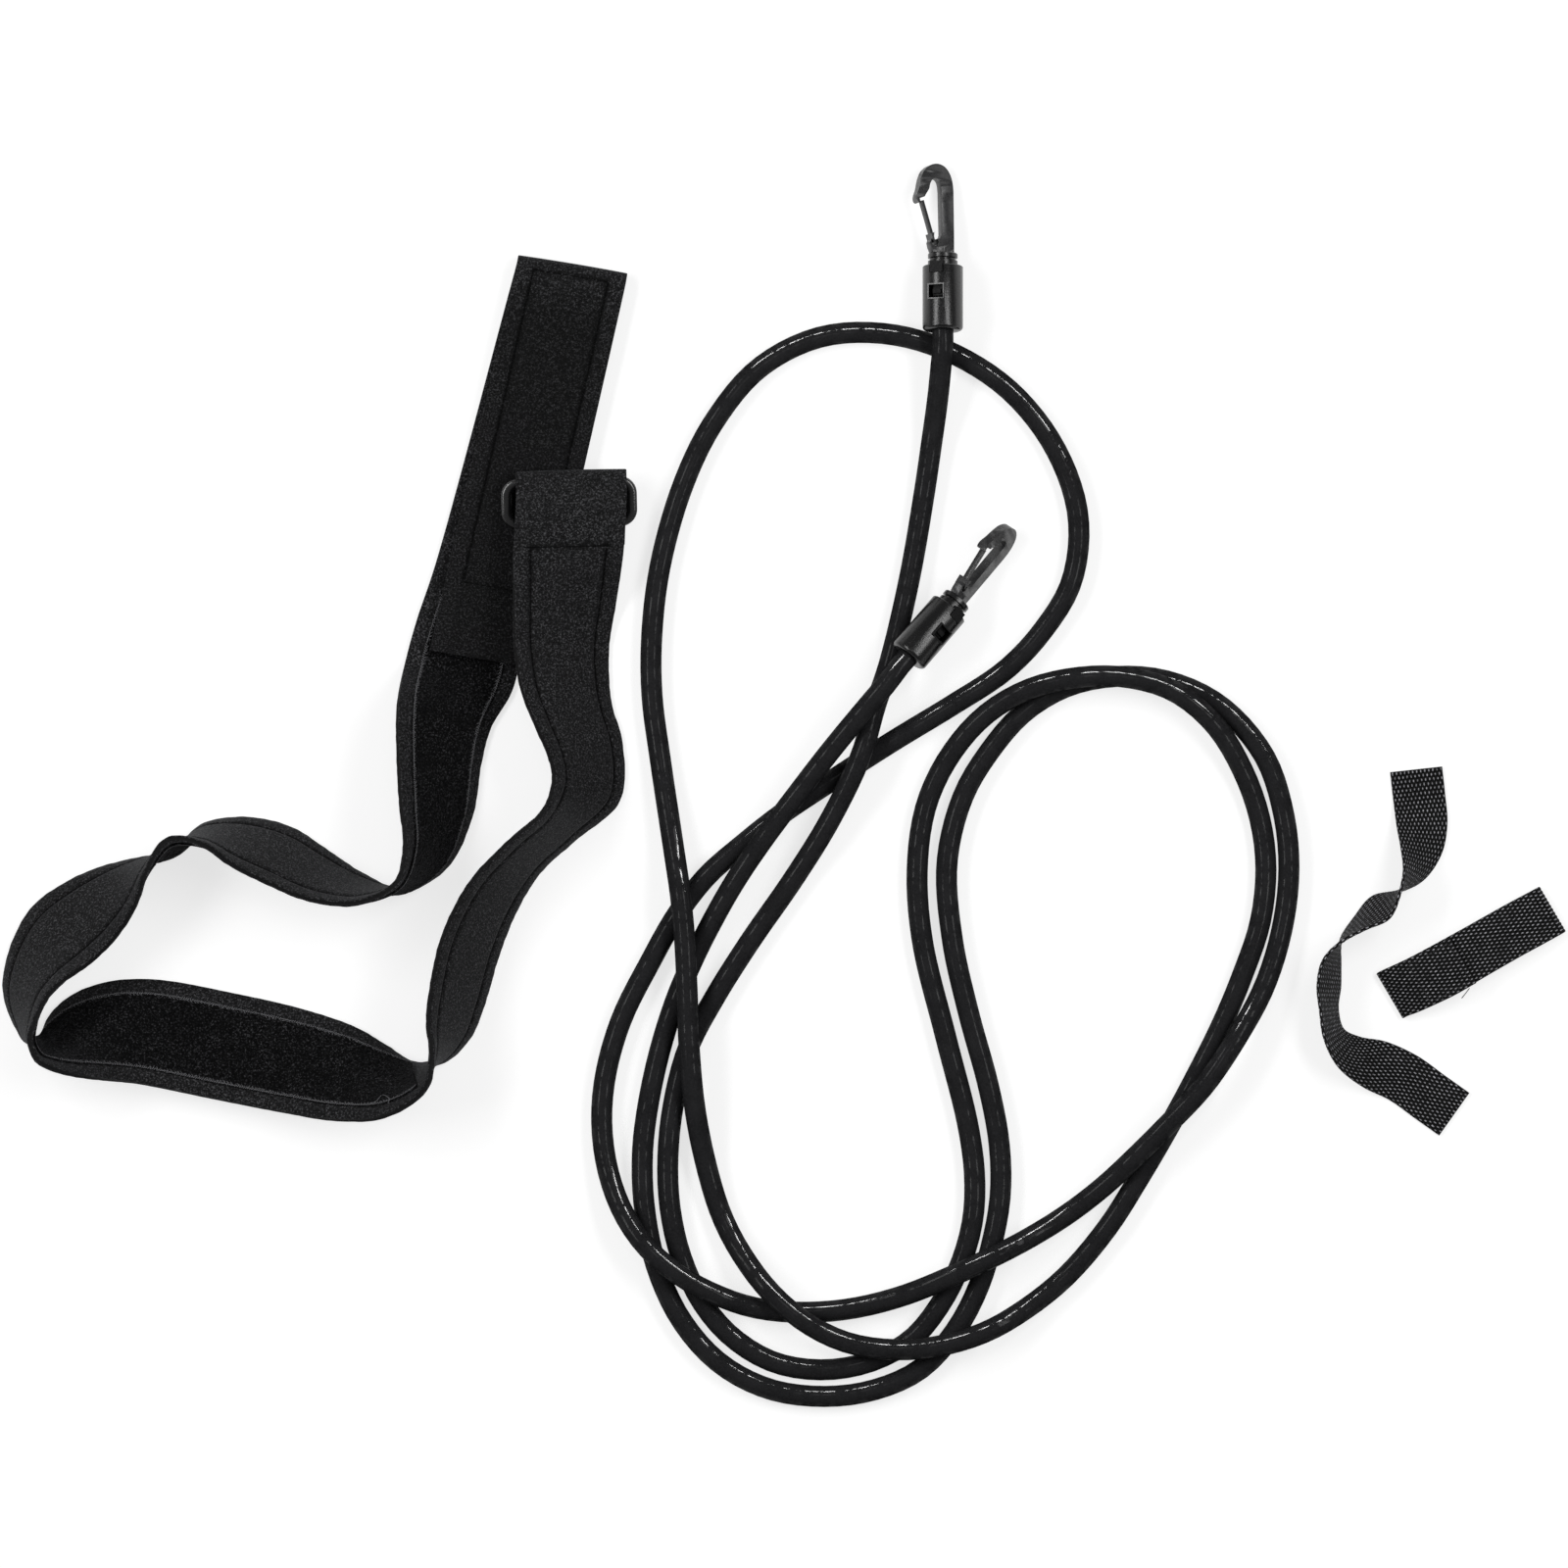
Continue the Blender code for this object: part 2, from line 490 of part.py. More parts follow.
def build_barrel(name, collection, cutters, material):
    bore = TUBE_DIAMETER / 2 + GAP
    profile = [(bore, 0.0)]
    for step in range(5):
        angle = math.radians(90.0 * step / 4)
        profile.append((BARREL_RADIUS - BARREL_EDGE * (1.0 - math.sin(angle)),
                        BARREL_EDGE * (1.0 - math.cos(angle))))
    profile += [(BARREL_RADIUS, BARREL_LENGTH), (BARREL_CAVITY_RADIUS, BARREL_LENGTH),
                (BARREL_CAVITY_RADIUS, BARREL_REAR_WALL), (bore, BARREL_REAR_WALL)]
    barrel = turned(name, profile, collection, material)
    depth = BARREL_RADIUS
    window = box(name + "_window_cut", (WINDOW_WIDTH, WINDOW_LENGTH, depth),
                 (0.0, WINDOW_START + WINDOW_LENGTH / 2, BARREL_RADIUS), cutters)
    length = NOTCH_LENGTH + OVERRUN
    notch = box(name + "_notch_cut", (NOTCH_WIDTH, length, depth),
                (0.0, BARREL_LENGTH - NOTCH_LENGTH + length / 2, BARREL_RADIUS), cutters)
    combine(barrel, window, "DIFFERENCE")
    combine(barrel, notch, "DIFFERENCE")
    return barrel


def build_seat(name, collection, cutters, material):
    """The swivel seat: a collar, a cup in the barrel's mouth, a key and a latch finger."""
    bore = STEM_RADIUS + GAP
    cup = STEM_HEAD_RADIUS + GAP
    profile = [(bore, COLLAR_END), (COLLAR_RADIUS, COLLAR_END), (COLLAR_RADIUS, COLLAR_START),
               (INSERT_RADIUS, COLLAR_START), (INSERT_RADIUS, SEAT_START), (cup, SEAT_START),
               (cup, WEB_START), (bore, WEB_START)]
    seat = turned(name, profile, collection, material)
    key_length = NOTCH_LENGTH - GAP + COLLAR_LENGTH / 4
    key_top = BARREL_RADIUS - GAP
    key_bottom = cup + GAP
    key = box(name + "_key", (KEY_WIDTH, key_length, key_top - key_bottom),
              (0.0, BARREL_LENGTH - NOTCH_LENGTH + GAP + key_length / 2, (key_top + key_bottom) / 2), cutters)
    finger_start = WINDOW_START + GAP + FINGER_NUB_LENGTH / 2
    finger_end = SEAT_START + OVERRUN
    finger = box(name + "_finger", (FINGER_WIDTH, finger_end - finger_start, FINGER_THICKNESS),
                 (0.0, (finger_end + finger_start) / 2, FINGER_TOP - FINGER_THICKNESS / 2), cutters)
    nub_bottom = FINGER_TOP - FINGER_THICKNESS / 2
    nub_height = FINGER_NUB + FINGER_THICKNESS / 2
    nub = box(name + "_nub", (FINGER_WIDTH - FINGER_THICKNESS, FINGER_NUB_LENGTH, nub_height),
              (0.0, finger_start + FINGER_NUB_LENGTH, nub_bottom + nub_height / 2), cutters)
    for piece in (key, finger, nub):
        combine(seat, piece, "UNION")
    return seat


def build_plug(name, collection, material):
    """The plug that spreads the tube's end, so that it can't leave the barrel."""
    profile = [(0.0, PLUG_START + PLUG_LENGTH), (PLUG_NOSE_RADIUS, PLUG_START + PLUG_LENGTH),
               (PLUG_RADIUS, PLUG_START + PLUG_RIM), (PLUG_RADIUS, PLUG_START), (0.0, PLUG_START)]
    return turned(name, profile, collection, material)


def share_point(shares):
    return Vector((shares[0] * HOOK_WIDTH, HOOK_START + shares[1] * HOOK_LENGTH, 0.0))


def build_hook(name, collection, cutters, material):
    """A flat snap hook with rounded rims, on a stem whose head turns in the seat."""
    outline = smooth_points([share_point(pair) for pair in HOOK_OUTER_SHARES], 3)
    outline += [share_point(pair) for pair in HOOK_LIP_SHARES]
    outline += smooth_points([share_point(pair) for pair in HOOK_INNER_SHARES], 3)
    outline += [share_point(pair) for pair in HOOK_BASE_SHARES]
    curve = bpy.data.curves.new(name, "CURVE")
    curve.dimensions = "2D"
    curve.fill_mode = "BOTH"
    curve.extrude = HOOK_THICKNESS / 2
    spline = curve.splines.new("POLY")
    spline.points.add(len(outline) - 1)
    for point, place in zip(spline.points, outline):
        point.co = (*place, 1.0)
    spline.use_cyclic_u = True
    item = bpy.data.objects.new(name, curve)
    collection.objects.link(item)
    bpy.ops.object.select_all(action="DESELECT")
    bpy.context.view_layer.objects.active = item
    item.select_set(True)
    bpy.ops.object.convert(target="MESH")
    hook = bpy.context.active_object
    weld = hook.modifiers.new("weld", "WELD")
    weld.merge_threshold = MERGE_DISTANCE
    rims = hook.modifiers.new("rims", "BEVEL")
    rims.width = HOOK_EDGE
    rims.segments = 2
    rims.limit_method = "ANGLE"
    rims.angle_limit = math.radians(60.0)
    stem_start = HEAD_END - STEM_HEAD_LENGTH / 2
    stem_end = HOOK_START + HOOK_THICKNESS / 2
    stem = rod(name + "_stem", STEM_RADIUS, stem_end - stem_start,
               (0.0, (stem_start + stem_end) / 2, 0.0), "Y", cutters)
    head = rod(name + "_head", STEM_HEAD_RADIUS, STEM_HEAD_LENGTH,
               (0.0, HEAD_END - STEM_HEAD_LENGTH / 2, 0.0), "Y", cutters)
    pivot = share_point(GATE_PIVOT_SHARES)
    depth = HOOK_THICKNESS + 2 * OVERRUN
    socket = rod(name + "_socket_cut", KNUCKLE_RADIUS + GAP, depth, pivot, "Z", cutters)
    combine(hook, stem, "UNION")
    combine(hook, head, "UNION")
    combine(hook, socket, "DIFFERENCE")
    slot_length = 3 * KNUCKLE_RADIUS
    for lean in (GATE_LEAN_DEGREES, GATE_LEAN_DEGREES - GATE_OPEN_DEGREES):
        along = direction(90.0 + lean)
        slot = box(name + f"_slot_cut_{round(abs(lean))}", (GATE_THICKNESS + 2 * GAP, slot_length, depth),
                   pivot + along * slot_length / 2, cutters, turn_degrees=lean)
        combine(hook, slot, "DIFFERENCE")
    move_to(hook, collection, material)
    return hook


def build_gate(name, collection, cutters, material):
    """The spring leaf that shuts the hook, with its origin on the knuckle's axis."""
    along = direction(90.0 + GATE_LEAN_DEGREES)
    gate = box(name, (GATE_THICKNESS, GATE_LENGTH, GATE_DEPTH), along * GATE_LENGTH / 2, collection,
               material, GATE_LEAN_DEGREES)
    knuckle = rod(name + "_knuckle", KNUCKLE_RADIUS, GATE_DEPTH, Vector(), "Z", cutters)
    combine(gate, knuckle, "UNION")
    knuckle.parent = gate
    gate.location = share_point(GATE_PIVOT_SHARES)
    return gate


def fitting_frames(letter):
    """The barrel's and the hook's matrices: +Y runs forward to the hook's tip."""
    heading, tilt, roll, hook_roll = FITTING_DEGREES[letter]
    height = FITTING_HEIGHT_SHARES[letter] * BARREL_RADIUS
    aim = Matrix.Translation(floor_place(FITTING_PIXELS[letter], height))
    aim = aim @ Matrix.Rotation(math.radians(-heading), 4, "Z") @ Matrix.Rotation(math.radians(-tilt), 4, "X")
    turn = Matrix.Rotation(math.radians(roll), 4, "Y")
    hook_turn = Matrix.Rotation(math.radians(hook_roll), 4, "Y")
    return aim @ turn, aim @ hook_turn


def build_fitting(letter, collection, cutters):
    shell = make_material(f"barrel_plastic_{letter}", (0.020, 0.020, 0.022), 0.30)
    seat_plastic = make_material(f"seat_plastic_{letter}", (0.028, 0.028, 0.030), 0.34)
    hook_plastic = make_material(f"hook_plastic_{letter}", (0.030, 0.030, 0.032), 0.36)
    gate_plastic = make_material(f"gate_plastic_{letter}", (0.030, 0.030, 0.032), 0.36)
    plug_plastic = make_material(f"plug_plastic_{letter}", (0.050, 0.050, 0.052), 0.45)
    barrel_frame, hook_frame = fitting_frames(letter)
    still = [build_barrel(f"barrel_{letter}", collection, cutters, shell),
             build_seat(f"swivel_seat_{letter}", collection, cutters, seat_plastic),
             build_plug(f"tube_plug_{letter}", collection, plug_plastic)]
    hook = build_hook(f"snap_hook_{letter}", collection, cutters, hook_plastic)
    gate = build_gate(f"hook_gate_{letter}", collection, cutters, gate_plastic)
    holder = bpy.data.objects.new(f"fitting_{letter}_frame", None)
    swivel = bpy.data.objects.new(f"swivel_{letter}_axis", None)
    for empty, frame in ((holder, barrel_frame), (swivel, hook_frame)):
        collection.objects.link(empty)
        empty.matrix_world = frame
    for item in still:
        item.parent = holder
    for item in (hook, gate):
        item.parent = swivel
    for cutter in cutters.objects:
        if cutter.parent is None:
            cutter.parent = swivel if cutter.name.startswith("snap_hook") else holder
    return barrel_frame


def tube_points(frames):
    """The tube's whole centre line, from inside one barrel to inside the other."""
    ends = []
    for frame in frames:
        ends.append([frame @ Vector((0.0, along, 0.0)) for along in (TUBE_INSERT, 0.0, -TUBE_DIAMETER)])
    middle = [Vector(place) * MILLIMETRE for place in TUBE_ROUTE]
    curve = smooth_points(ends[0] + middle + ends[1][::-1], 10)
    for place in curve:
        place.z = max(place.z, TUBE_DIAMETER / 2)
    return even_points(curve, TUBE_STEP_DIAMETERS * TUBE_DIAMETER)


def least_gap(points, diameter):
    """The tube's least gap to itself, between stretches that aren't neighbours."""
    spacing = (points[1] - points[0]).length
    skip = round(math.pi * 3 * diameter / spacing)
    fine = []
    for before, after in zip(points, points[1:]):
        fine += [before.lerp(after, share / 4) for share in range(4)]
    least = None
    for index, place in enumerate(fine):
        for other in range(index + skip * 4, len(fine)):
            distance = (fine[other] - place).length
            if least is None or distance < least[0]:
                least = (distance, place, index, other)
    return least[0] - diameter, least[1], least[2] // 4, least[3] // 4


def build_tube(collection, frames):
    rubber = make_material("tether_rubber", (0.016, 0.016, 0.017), 0.42)
    points = tube_points(frames)
    wire_object("tether_tube", points, TUBE_DIAMETER / 2, 1, collection, rubber)
    length = sum((after - before).length for before, after in zip(points, points[1:]))
    gap, place, first, second = least_gap(points, TUBE_DIAMETER)
    print(f"tether tube: {len(points)} points, {length:.3f} m, least gap to itself "
          f"{gap / MILLIMETRE:.2f} mm near {place.x:.3f}, {place.y:.3f} (points {first} and {second})")


def build_anchors(collection):
    webbing = make_material("anchor_webbing", (0.018, 0.018, 0.019), 0.8)
    loop_webbing = make_material("anchor_loop_webbing", (0.018, 0.018, 0.019), 0.8)
    strip = Ribbon(WEBBING_WIDTH)
    strip.add_leaning_rows(STRIP_ROWS, WEBBING_THICKNESS)
    near, far = strip.edges(4)
    ribbon_solid("anchor_strap", near, far, WEBBING_THICKNESS, 2, collection, webbing)
    loop = Ribbon(WEBBING_WIDTH)
    loop.add_flat_rows(LOOP_START_ROWS, LOOP_ACROSS_DEGREES, LOOP_HEIGHT, LOOP_START_HEIGHT_SHARES)
    lower = WEBBING_THICKNESS / 2
    turns = ((LOOP_LEFT_TURN, 1, 90, LOOP_LOWER_ROWS, LOOP_LOWER_HEIGHT_SHARES),
             (LOOP_RIGHT_TURN, -1, -90, LOOP_END_ROWS, LOOP_END_HEIGHT_SHARES))
    for place, side, first, rows, shares in turns:
        centre = floor_place(place, lower + LOOP_TURN_RADIUS)
        outward = direction(LOOP_ACROSS_DEGREES + 90.0 * side)
        loop.add_turn(centre, LOOP_ACROSS_DEGREES, outward, LOOP_TURN_RADIUS, first, -first, 6)
        loop.add_flat_rows(rows, LOOP_ACROSS_DEGREES, LOOP_HEIGHT, shares)
    near, far = loop.edges(3)
    ribbon_solid("anchor_loop", near, far, WEBBING_THICKNESS, 2, collection, loop_webbing)


def build():
    clear_scene()
    parts = make_collection("stationary_swim_tether")
    cutters = make_collection("cutters", hidden=True)
    build_belt(parts)
    build_ring(parts)
    frames = [build_fitting(letter, parts, cutters) for letter in FITTING_PIXELS]
    build_tube(parts, frames)
    build_anchors(parts)


build()
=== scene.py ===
"""The stationary swim tether dressed for its picture: belt, ring, rubber tube, snap hooks and webbing."""
import json
import math

import bmesh
import bpy
import numpy as np
from mathutils import Matrix, Vector

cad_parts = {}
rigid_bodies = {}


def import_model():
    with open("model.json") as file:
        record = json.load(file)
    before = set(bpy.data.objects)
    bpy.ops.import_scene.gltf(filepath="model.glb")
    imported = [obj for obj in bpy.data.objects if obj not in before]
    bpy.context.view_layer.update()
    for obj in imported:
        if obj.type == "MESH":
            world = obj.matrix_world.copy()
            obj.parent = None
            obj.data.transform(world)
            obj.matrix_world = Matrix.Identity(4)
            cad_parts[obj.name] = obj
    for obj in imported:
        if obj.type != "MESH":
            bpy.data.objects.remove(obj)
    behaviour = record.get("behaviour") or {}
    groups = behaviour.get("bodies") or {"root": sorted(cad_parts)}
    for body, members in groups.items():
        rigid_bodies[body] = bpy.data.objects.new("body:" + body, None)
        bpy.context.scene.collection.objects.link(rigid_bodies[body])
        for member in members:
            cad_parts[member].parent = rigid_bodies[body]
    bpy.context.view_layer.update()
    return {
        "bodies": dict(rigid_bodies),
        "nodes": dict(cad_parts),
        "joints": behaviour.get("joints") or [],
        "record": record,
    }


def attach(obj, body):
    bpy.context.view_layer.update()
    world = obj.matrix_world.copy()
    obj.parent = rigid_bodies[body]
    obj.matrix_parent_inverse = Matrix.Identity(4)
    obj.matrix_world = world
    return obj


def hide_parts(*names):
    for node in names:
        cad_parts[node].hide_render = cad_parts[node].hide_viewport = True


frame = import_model()

PIXEL = 0.00046  # one pixel of the photograph on the floor
ORIGIN_PIXELS = (800.0, 663.0)  # the pixel over the object's origin
GAP = 0.0003  # running gap between pieces that touch
OVERRUN = 0.001  # how far a cutter passes a face that it opens
MERGE_DISTANCE = 0.00001

BELT_WIDTH = 0.052
BELT_THICKNESS = 0.003
TAPE_INSET = 0.0070  # from the belt's edges to the tapes on it
TAPE_WIDTH = BELT_WIDTH - 2 * TAPE_INSET
TAPE_THICKNESS = 0.0008
TAPE_GAP = 0.0005  # between the belt and a tape on it
FLAP_HEIGHT = 1.5 * BELT_THICKNESS + 2 * TAPE_THICKNESS + 2 * TAPE_GAP + GAP
STRAP_HEIGHT = 0.0222  # the strap at its highest, where it passes over the ring
STRAP_END_LIFT = 0.0040  # how far its last leaning row is off the floor
RING_WIRE = 0.0042
RING_ROOM = 0.0018  # between the strap's edge and the inside of the ring
RING_LENGTH = BELT_WIDTH + 2 * (RING_WIRE + RING_ROOM)
RING_HEIGHT = 0.0240
RING_CORNER = 0.0060

TUBE_DIAMETER = 0.010

BARREL_LENGTH = 0.0306
BARREL_RADIUS = 0.0095
BARREL_EDGE = 0.0019
BARREL_CAVITY_RADIUS = 0.00765
BARREL_REAR_WALL = 0.0090  # depth of the bore that grips the tube
TUBE_INSERT = 0.0125  # how far the tube reaches into the barrel
WINDOW_WIDTH = 0.0070
WINDOW_LENGTH = 0.0062
WINDOW_START = 0.0144
NOTCH_WIDTH = 0.0070
NOTCH_LENGTH = 0.0042

PLUG_RADIUS = 0.0069
PLUG_NOSE_RADIUS = 0.0046
PLUG_RIM = 0.0018
PLUG_LENGTH = 0.0040

SEAT_INSERT_LENGTH = 0.0068
COLLAR_RADIUS = 0.0070
COLLAR_LENGTH = 0.0058
SEAT_WEB = 0.0009  # floor of the seat that holds the stem's head
FINGER_WIDTH = 0.0050
FINGER_THICKNESS = 0.0010
FINGER_NUB = 0.0016
FINGER_NUB_LENGTH = 0.0020
KEY_WIDTH = 0.0062

STEM_RADIUS = 0.0026
STEM_HEAD_RADIUS = 0.0042
STEM_HEAD_LENGTH = 0.0027
HOOK_LENGTH = 0.0420
HOOK_WIDTH = 0.0190
HOOK_THICKNESS = 0.0046
HOOK_EDGE = 0.0010
GATE_THICKNESS = 0.0016
GATE_DEPTH = 0.0026
GATE_OPEN_DEGREES = 20.0
KNUCKLE_RADIUS = 0.0015

WEBBING_WIDTH = 0.025
WEBBING_THICKNESS = 0.0018

BODY_OF = {"anchor_strap": "strip", "anchor_loop": "loop"}
TUBE_SPACING = 0.006
SEAM_INSET = 0.0012  # from the tape's edge to the seam that holds it
GROOVE_WIDTH = 0.0007
SEAM_SHADE = 0.0010  # half the width of the painted shade in a seam's groove
GROOVE_DEPTH = 0.00075
KNIT_EDGE = 0.0005
CROWN = 0.0003
RIPPLE = 0.00018
PILE_FUZZ = 0.00013
FLAP_BOX_END_SHARE = 0.185  # where the flap's seams end, from its free end to the fold
STRAP_BAR_SHARE = 0.08
WEAVE_ALONG = 0.0021
WEAVE_ACROSS = 0.0019
WEAVE_RELIEF = 0.00048
SELVEDGE = 0.0011
RIM_WIDTH = 0.0006  # the raised rim round the barrel's window
LOOSE_LOOP_PIXELS = ((380, 1130), (386, 1128), (392, 1122), (397, 1123), (400, 1126), (399, 1130))
LOOSE_END_PIXELS = ((1499, 1009), (1496, 1013), (1492, 1018))
LOOP_SEWN = (0.0020, 0.0230)  # the stitched box, along the loop from its end
PHOTO_PIXELS = 1600
WORLD_LIGHT = 0.20
FLOOR_GREY = 0.40
FLOOR_GLOW = 0.72
FLOOR_DROP = -0.00005
BACKDROP_SIDES = 48
BACKDROP_RADIUS = 5.5
BACKDROP_HEIGHT = 0.9
BACKDROP_DEPTH = 0.6  # below the floor, for low views whose frame starts under it
LAMPS = (
    ("key", (-1.35, 0.35, 1.60), (1.7, 0.48), 22.0),
    ("fill", (1.15, 0.35, 1.70), (1.7, 0.48), 18.5),
    ("top", (0.0, 0.3, 2.1), (0.4, 0.4), 1.5),
)
GLINT_LAMP = ((0.35, 1.45, 1.45), (3.8, 0.3), 560.0)
GLINT_DASH = 0.006  # how long the tube's glossy patches are
GLINT_GLOSS = 0.14
GLINT_ROUGHNESS = 0.10

# The two seams across the belt, and how finely the routes are followed
SEAM = TAPE_INSET + SEAM_INSET
FAR_SEAM = BELT_WIDTH - SEAM
TUBE_REST = 5.1  # millimetres that the tube's centre is over the floor where it lies on it
ROUTE_STEPS = 10
BELT_STEPS = 12
STRIP_STEPS = 12
LOOP_STEPS = 8
LOOP_TURN_STEPS = 6
FLAP_TURN = (60.0, -60.0, 4)  # first and last angle of a fold, and its steps
STRAP_TURN = (80.0, -80.0, 6)
BAND_STEP = 0.0015
KNIT_COLUMNS = 11
UNDER_COLUMNS = 9
UNDER_MARGIN = 0.003  # how far the jersey's first points lie inside the belt's edges

# The belt's side, from pile to jersey: shares of the knit's edge inwards, and levels in half thicknesses
BELT_EDGE = ((0.3, 0.9), (0.0, 0.67), (0.0, 0.57), (0.24, 0.5), (0.24, -0.5), (0.0, -0.57), (0.0, -0.67),
             (0.3, -0.9))
FOAM_LEVEL = 0.5  # the level at which the cut foam starts

# Steps across a seam's groove, in its widths, and how deep each is
GROOVE = ((-3.0, 0.0), (-1.5, 0.25), (-0.6, 0.8), (0.0, 1.0), (0.6, 0.8), (1.5, 0.25), (3.0, 0.0))

# The band's ripple, the two tapes and the seams on them
RIPPLE_LENGTH = 0.013
RIPPLE_FACTORS = (1.0, 1.7, 2.6)
RIPPLE_SEED = 4
FLAP_FADE = 0.02  # over how much of the flap its painted shade comes in
TAPE_STEP = 0.0008
TAPE_ACROSS = np.linspace(TAPE_INSET, TAPE_INSET + TAPE_WIDTH, 49)
SUNK = 0.0001  # how far a tape or thread reaches into what carries it
PILE_SEED = 7
PILE_END_INSET = 0.002
PILE_ROUND = 0.0012
HOOK_PITCH = 0.0016
OUTER_THREAD_INSET = 0.0007
INNER_THREAD_INSET = 0.0015
LOOP_SEAM_INSET = 0.004
TACK = 0.002  # how far the bar's stitches pass the seam
TACK_RISE = 0.0006
LINE_STEP = 0.001
SEARCH_GRID = (3000, 105)  # rows and columns in which a loose thread looks for the cloth under it
LOOSE_STEPS = 6
HEIGHT_PULL = 20  # how many times higher cloth has to be than other cloth is nearer, to be taken

# Stitches: pitch, length and radius
EDGE_STITCH = (0.0010, 0.0015, 0.00023)
INNER_STITCH = (0.0017, 0.0016, 0.00016)
LOOSE_STITCH = (0.0004, 0.0012, 0.00022)
SEAM_STITCH = (0.0027, 0.0022, 0.00032)
BAR_STITCH = (0.0012, 0.0016, 0.0003)
TACK_STITCH = (0.0006, 0.0014, 0.0002)
BOX_STITCH = (0.0018, 0.0013, 0.00022)

# A stitch's rings: place along it in lengths, and thickness in radii
BEAD_RINGS = ((-0.5, 0.25), (-0.38, 0.8), (0.0, 1.0), (0.38, 0.8), (0.5, 0.25))
BEAD_SIDES = 6
BEAD_FLATNESS = 0.7

# Threads: tone and specular level
SELVEDGE_THREAD = (0.10, 0.4)
SEAM_THREAD = (0.0015, 0.05)
LOOP_THREAD = (0.03, 0.3)

# Sheen, white light and the webbing's weave
SHEEN_ROUGHNESS = 0.45
SHEEN_TINT = (0.75, 0.77, 0.82, 1.0)
WHITE = (1.0, 1.0, 1.0, 1.0)
WEAVE_SAMPLES = 6
WEBBING_EDGE = 0.0002
WEBBING_ROUND = 0.0006

# Degrees past which an edge stays crisp, and past which a mould's edge is rounded
STRIP_CREASE = 50.0
ROUND_CREASE = 60.0
MOULD_CREASE = 40.0
HOOK_CREASE = 32.0
SOFT_DEGREES = 35.0

# The ring, and the small forms of the barrels, seats, gates and hooks
RING_FLAT = 0.0014  # how much the ring's short sides are widened inwards
RING_SIDES = 20
RING_CORNER_STEPS = 10
RING_SQUARENESS = 2.6
TURNED_SIDES = 72
ROD_SIDES = 40
BARREL_EDGE_STEPS = 8
CHAMFER = 0.0004
RIM_HEIGHT = 0.0030
RIM_SUNK = 0.0012  # how far the middle of the window's rim lies under the barrel's top
WAIST_DEPTH = 0.0011
WAIST_TOP = 0.0007  # half the width of the collar's groove, at its top and on its floor
WAIST_FLOOR = 0.0003
BARREL_ROUND = 0.00025
SEAT_ROUND = 0.0002
GATE_ROUND = 0.00035
HOOK_STEPS = 3
CAMERA_HEIGHT = 1.2
FLOOR_HALF = 6

# The belt's free flap: centre line in pixels
FLAP_ACROSS_DEGREES = 170.5
FLAP_ROWS = ((494, 673), (536, 487), (583, 279))

# The belt's loop: centre line in pixels and lean in degrees (0 pile up, 180 jersey up)
LOOP_ROWS = (
    (572, 320, 0), (499, 590, 0), (479, 650, 0), (468, 690, 0), (453, 731, 31), (448, 775, 42),
    (445, 826, 50), (434, 874, 66), (406, 905, 86), (366, 907, 105), (325, 894, 117), (284, 873, 122),
    (242, 859, 115), (206, 853, 99), (175, 864, 82), (147, 882, 96), (120, 906, 117), (92, 930, 131),
    (62, 955, 135), (38, 985, 123), (26, 1015, 112), (26, 1043, 100), (30, 1062, 91), (41, 1070, 77),
    (58, 1067, 60), (82, 1059, 42), (112, 1053, 28), (150, 1053, 19), (230, 1068, 15), (300, 1083, 20),
    (352, 1096, 32), (394, 1104, 52), (428, 1098, 76), (447, 1077, 98), (458, 1050, 113),
    (467, 1015, 119), (480, 965, 121), (503, 915, 118), (535, 874, 112), (571, 841, 112),
    (598, 805, 128), (597, 765, 131), (585, 730, 134), (576, 695, 142), (573, 655, 148),
    (576, 612, 157),
)
STRAP_END_ACROSS_DEGREES = 181.5
STRAP_END_ROWS = ((580, 562), (582, 530), (583, 505))
STRAP_END_HEIGHT_SHARES = (0.968, 1.0, 0.923)
STRAP_TAIL_ROWS = ((583, 509), (582, 530), (581, 557))
STRAP_TAIL_HEIGHT_SHARES = (0.505, 0.775, 0.811)
RING_BAR_PIXELS = (580.0, 491.5)
RING_BAR_HEIGHT = 0.0146
RING_DROP_DEGREES = 10.0
PILE_TAPE_ROWS = (0, 32)  # first and last of the loop rows that the tape follows

# Rows of the twisted anchor strip: centre in pixels and lean in degrees
STRIP_ROWS = (
    (1445, 785, 0), (1448, 812, 0), (1451, 842, 14), (1450, 868, 38), (1442, 893, 66), (1428, 910, 92),
    (1409, 926, 122), (1388, 942, 108), (1369, 960, 92), (1359, 982, 70), (1356, 1006, 64),
    (1356, 1030, 70), (1361, 1055, 66), (1376, 1073, 46), (1402, 1086, 14), (1432, 1100, 0),
    (1460, 1120, 0), (1484, 1137, 0),
)

# Rows of the sewn anchor loop, from its outer overlap round to its inner end
LOOP_ACROSS_DEGREES = 120.5
LOOP_TURN_RADIUS = 0.0016
LOOP_HEIGHT = 0.0106
LOOP_START_ROWS = ((1493, 980), (1470, 993), (1449, 1003), (1433, 1010))
LOOP_START_HEIGHT_SHARES = (1.0, 0.981, 0.896, 0.642)
LOOP_LEFT_TURN = (1422, 1014)
LOOP_LOWER_ROWS = ((1450, 1001), (1500, 974), (1550, 946))
LOOP_LOWER_HEIGHT_SHARES = (0.094, 0.094, 0.094)
LOOP_RIGHT_TURN = (1580, 930)
LOOP_END_ROWS = ((1562, 940), (1540, 952), (1500, 975), (1470, 993), (1450, 1002))
LOOP_END_HEIGHT_SHARES = (0.585, 0.755, 0.802, 0.774, 0.698)

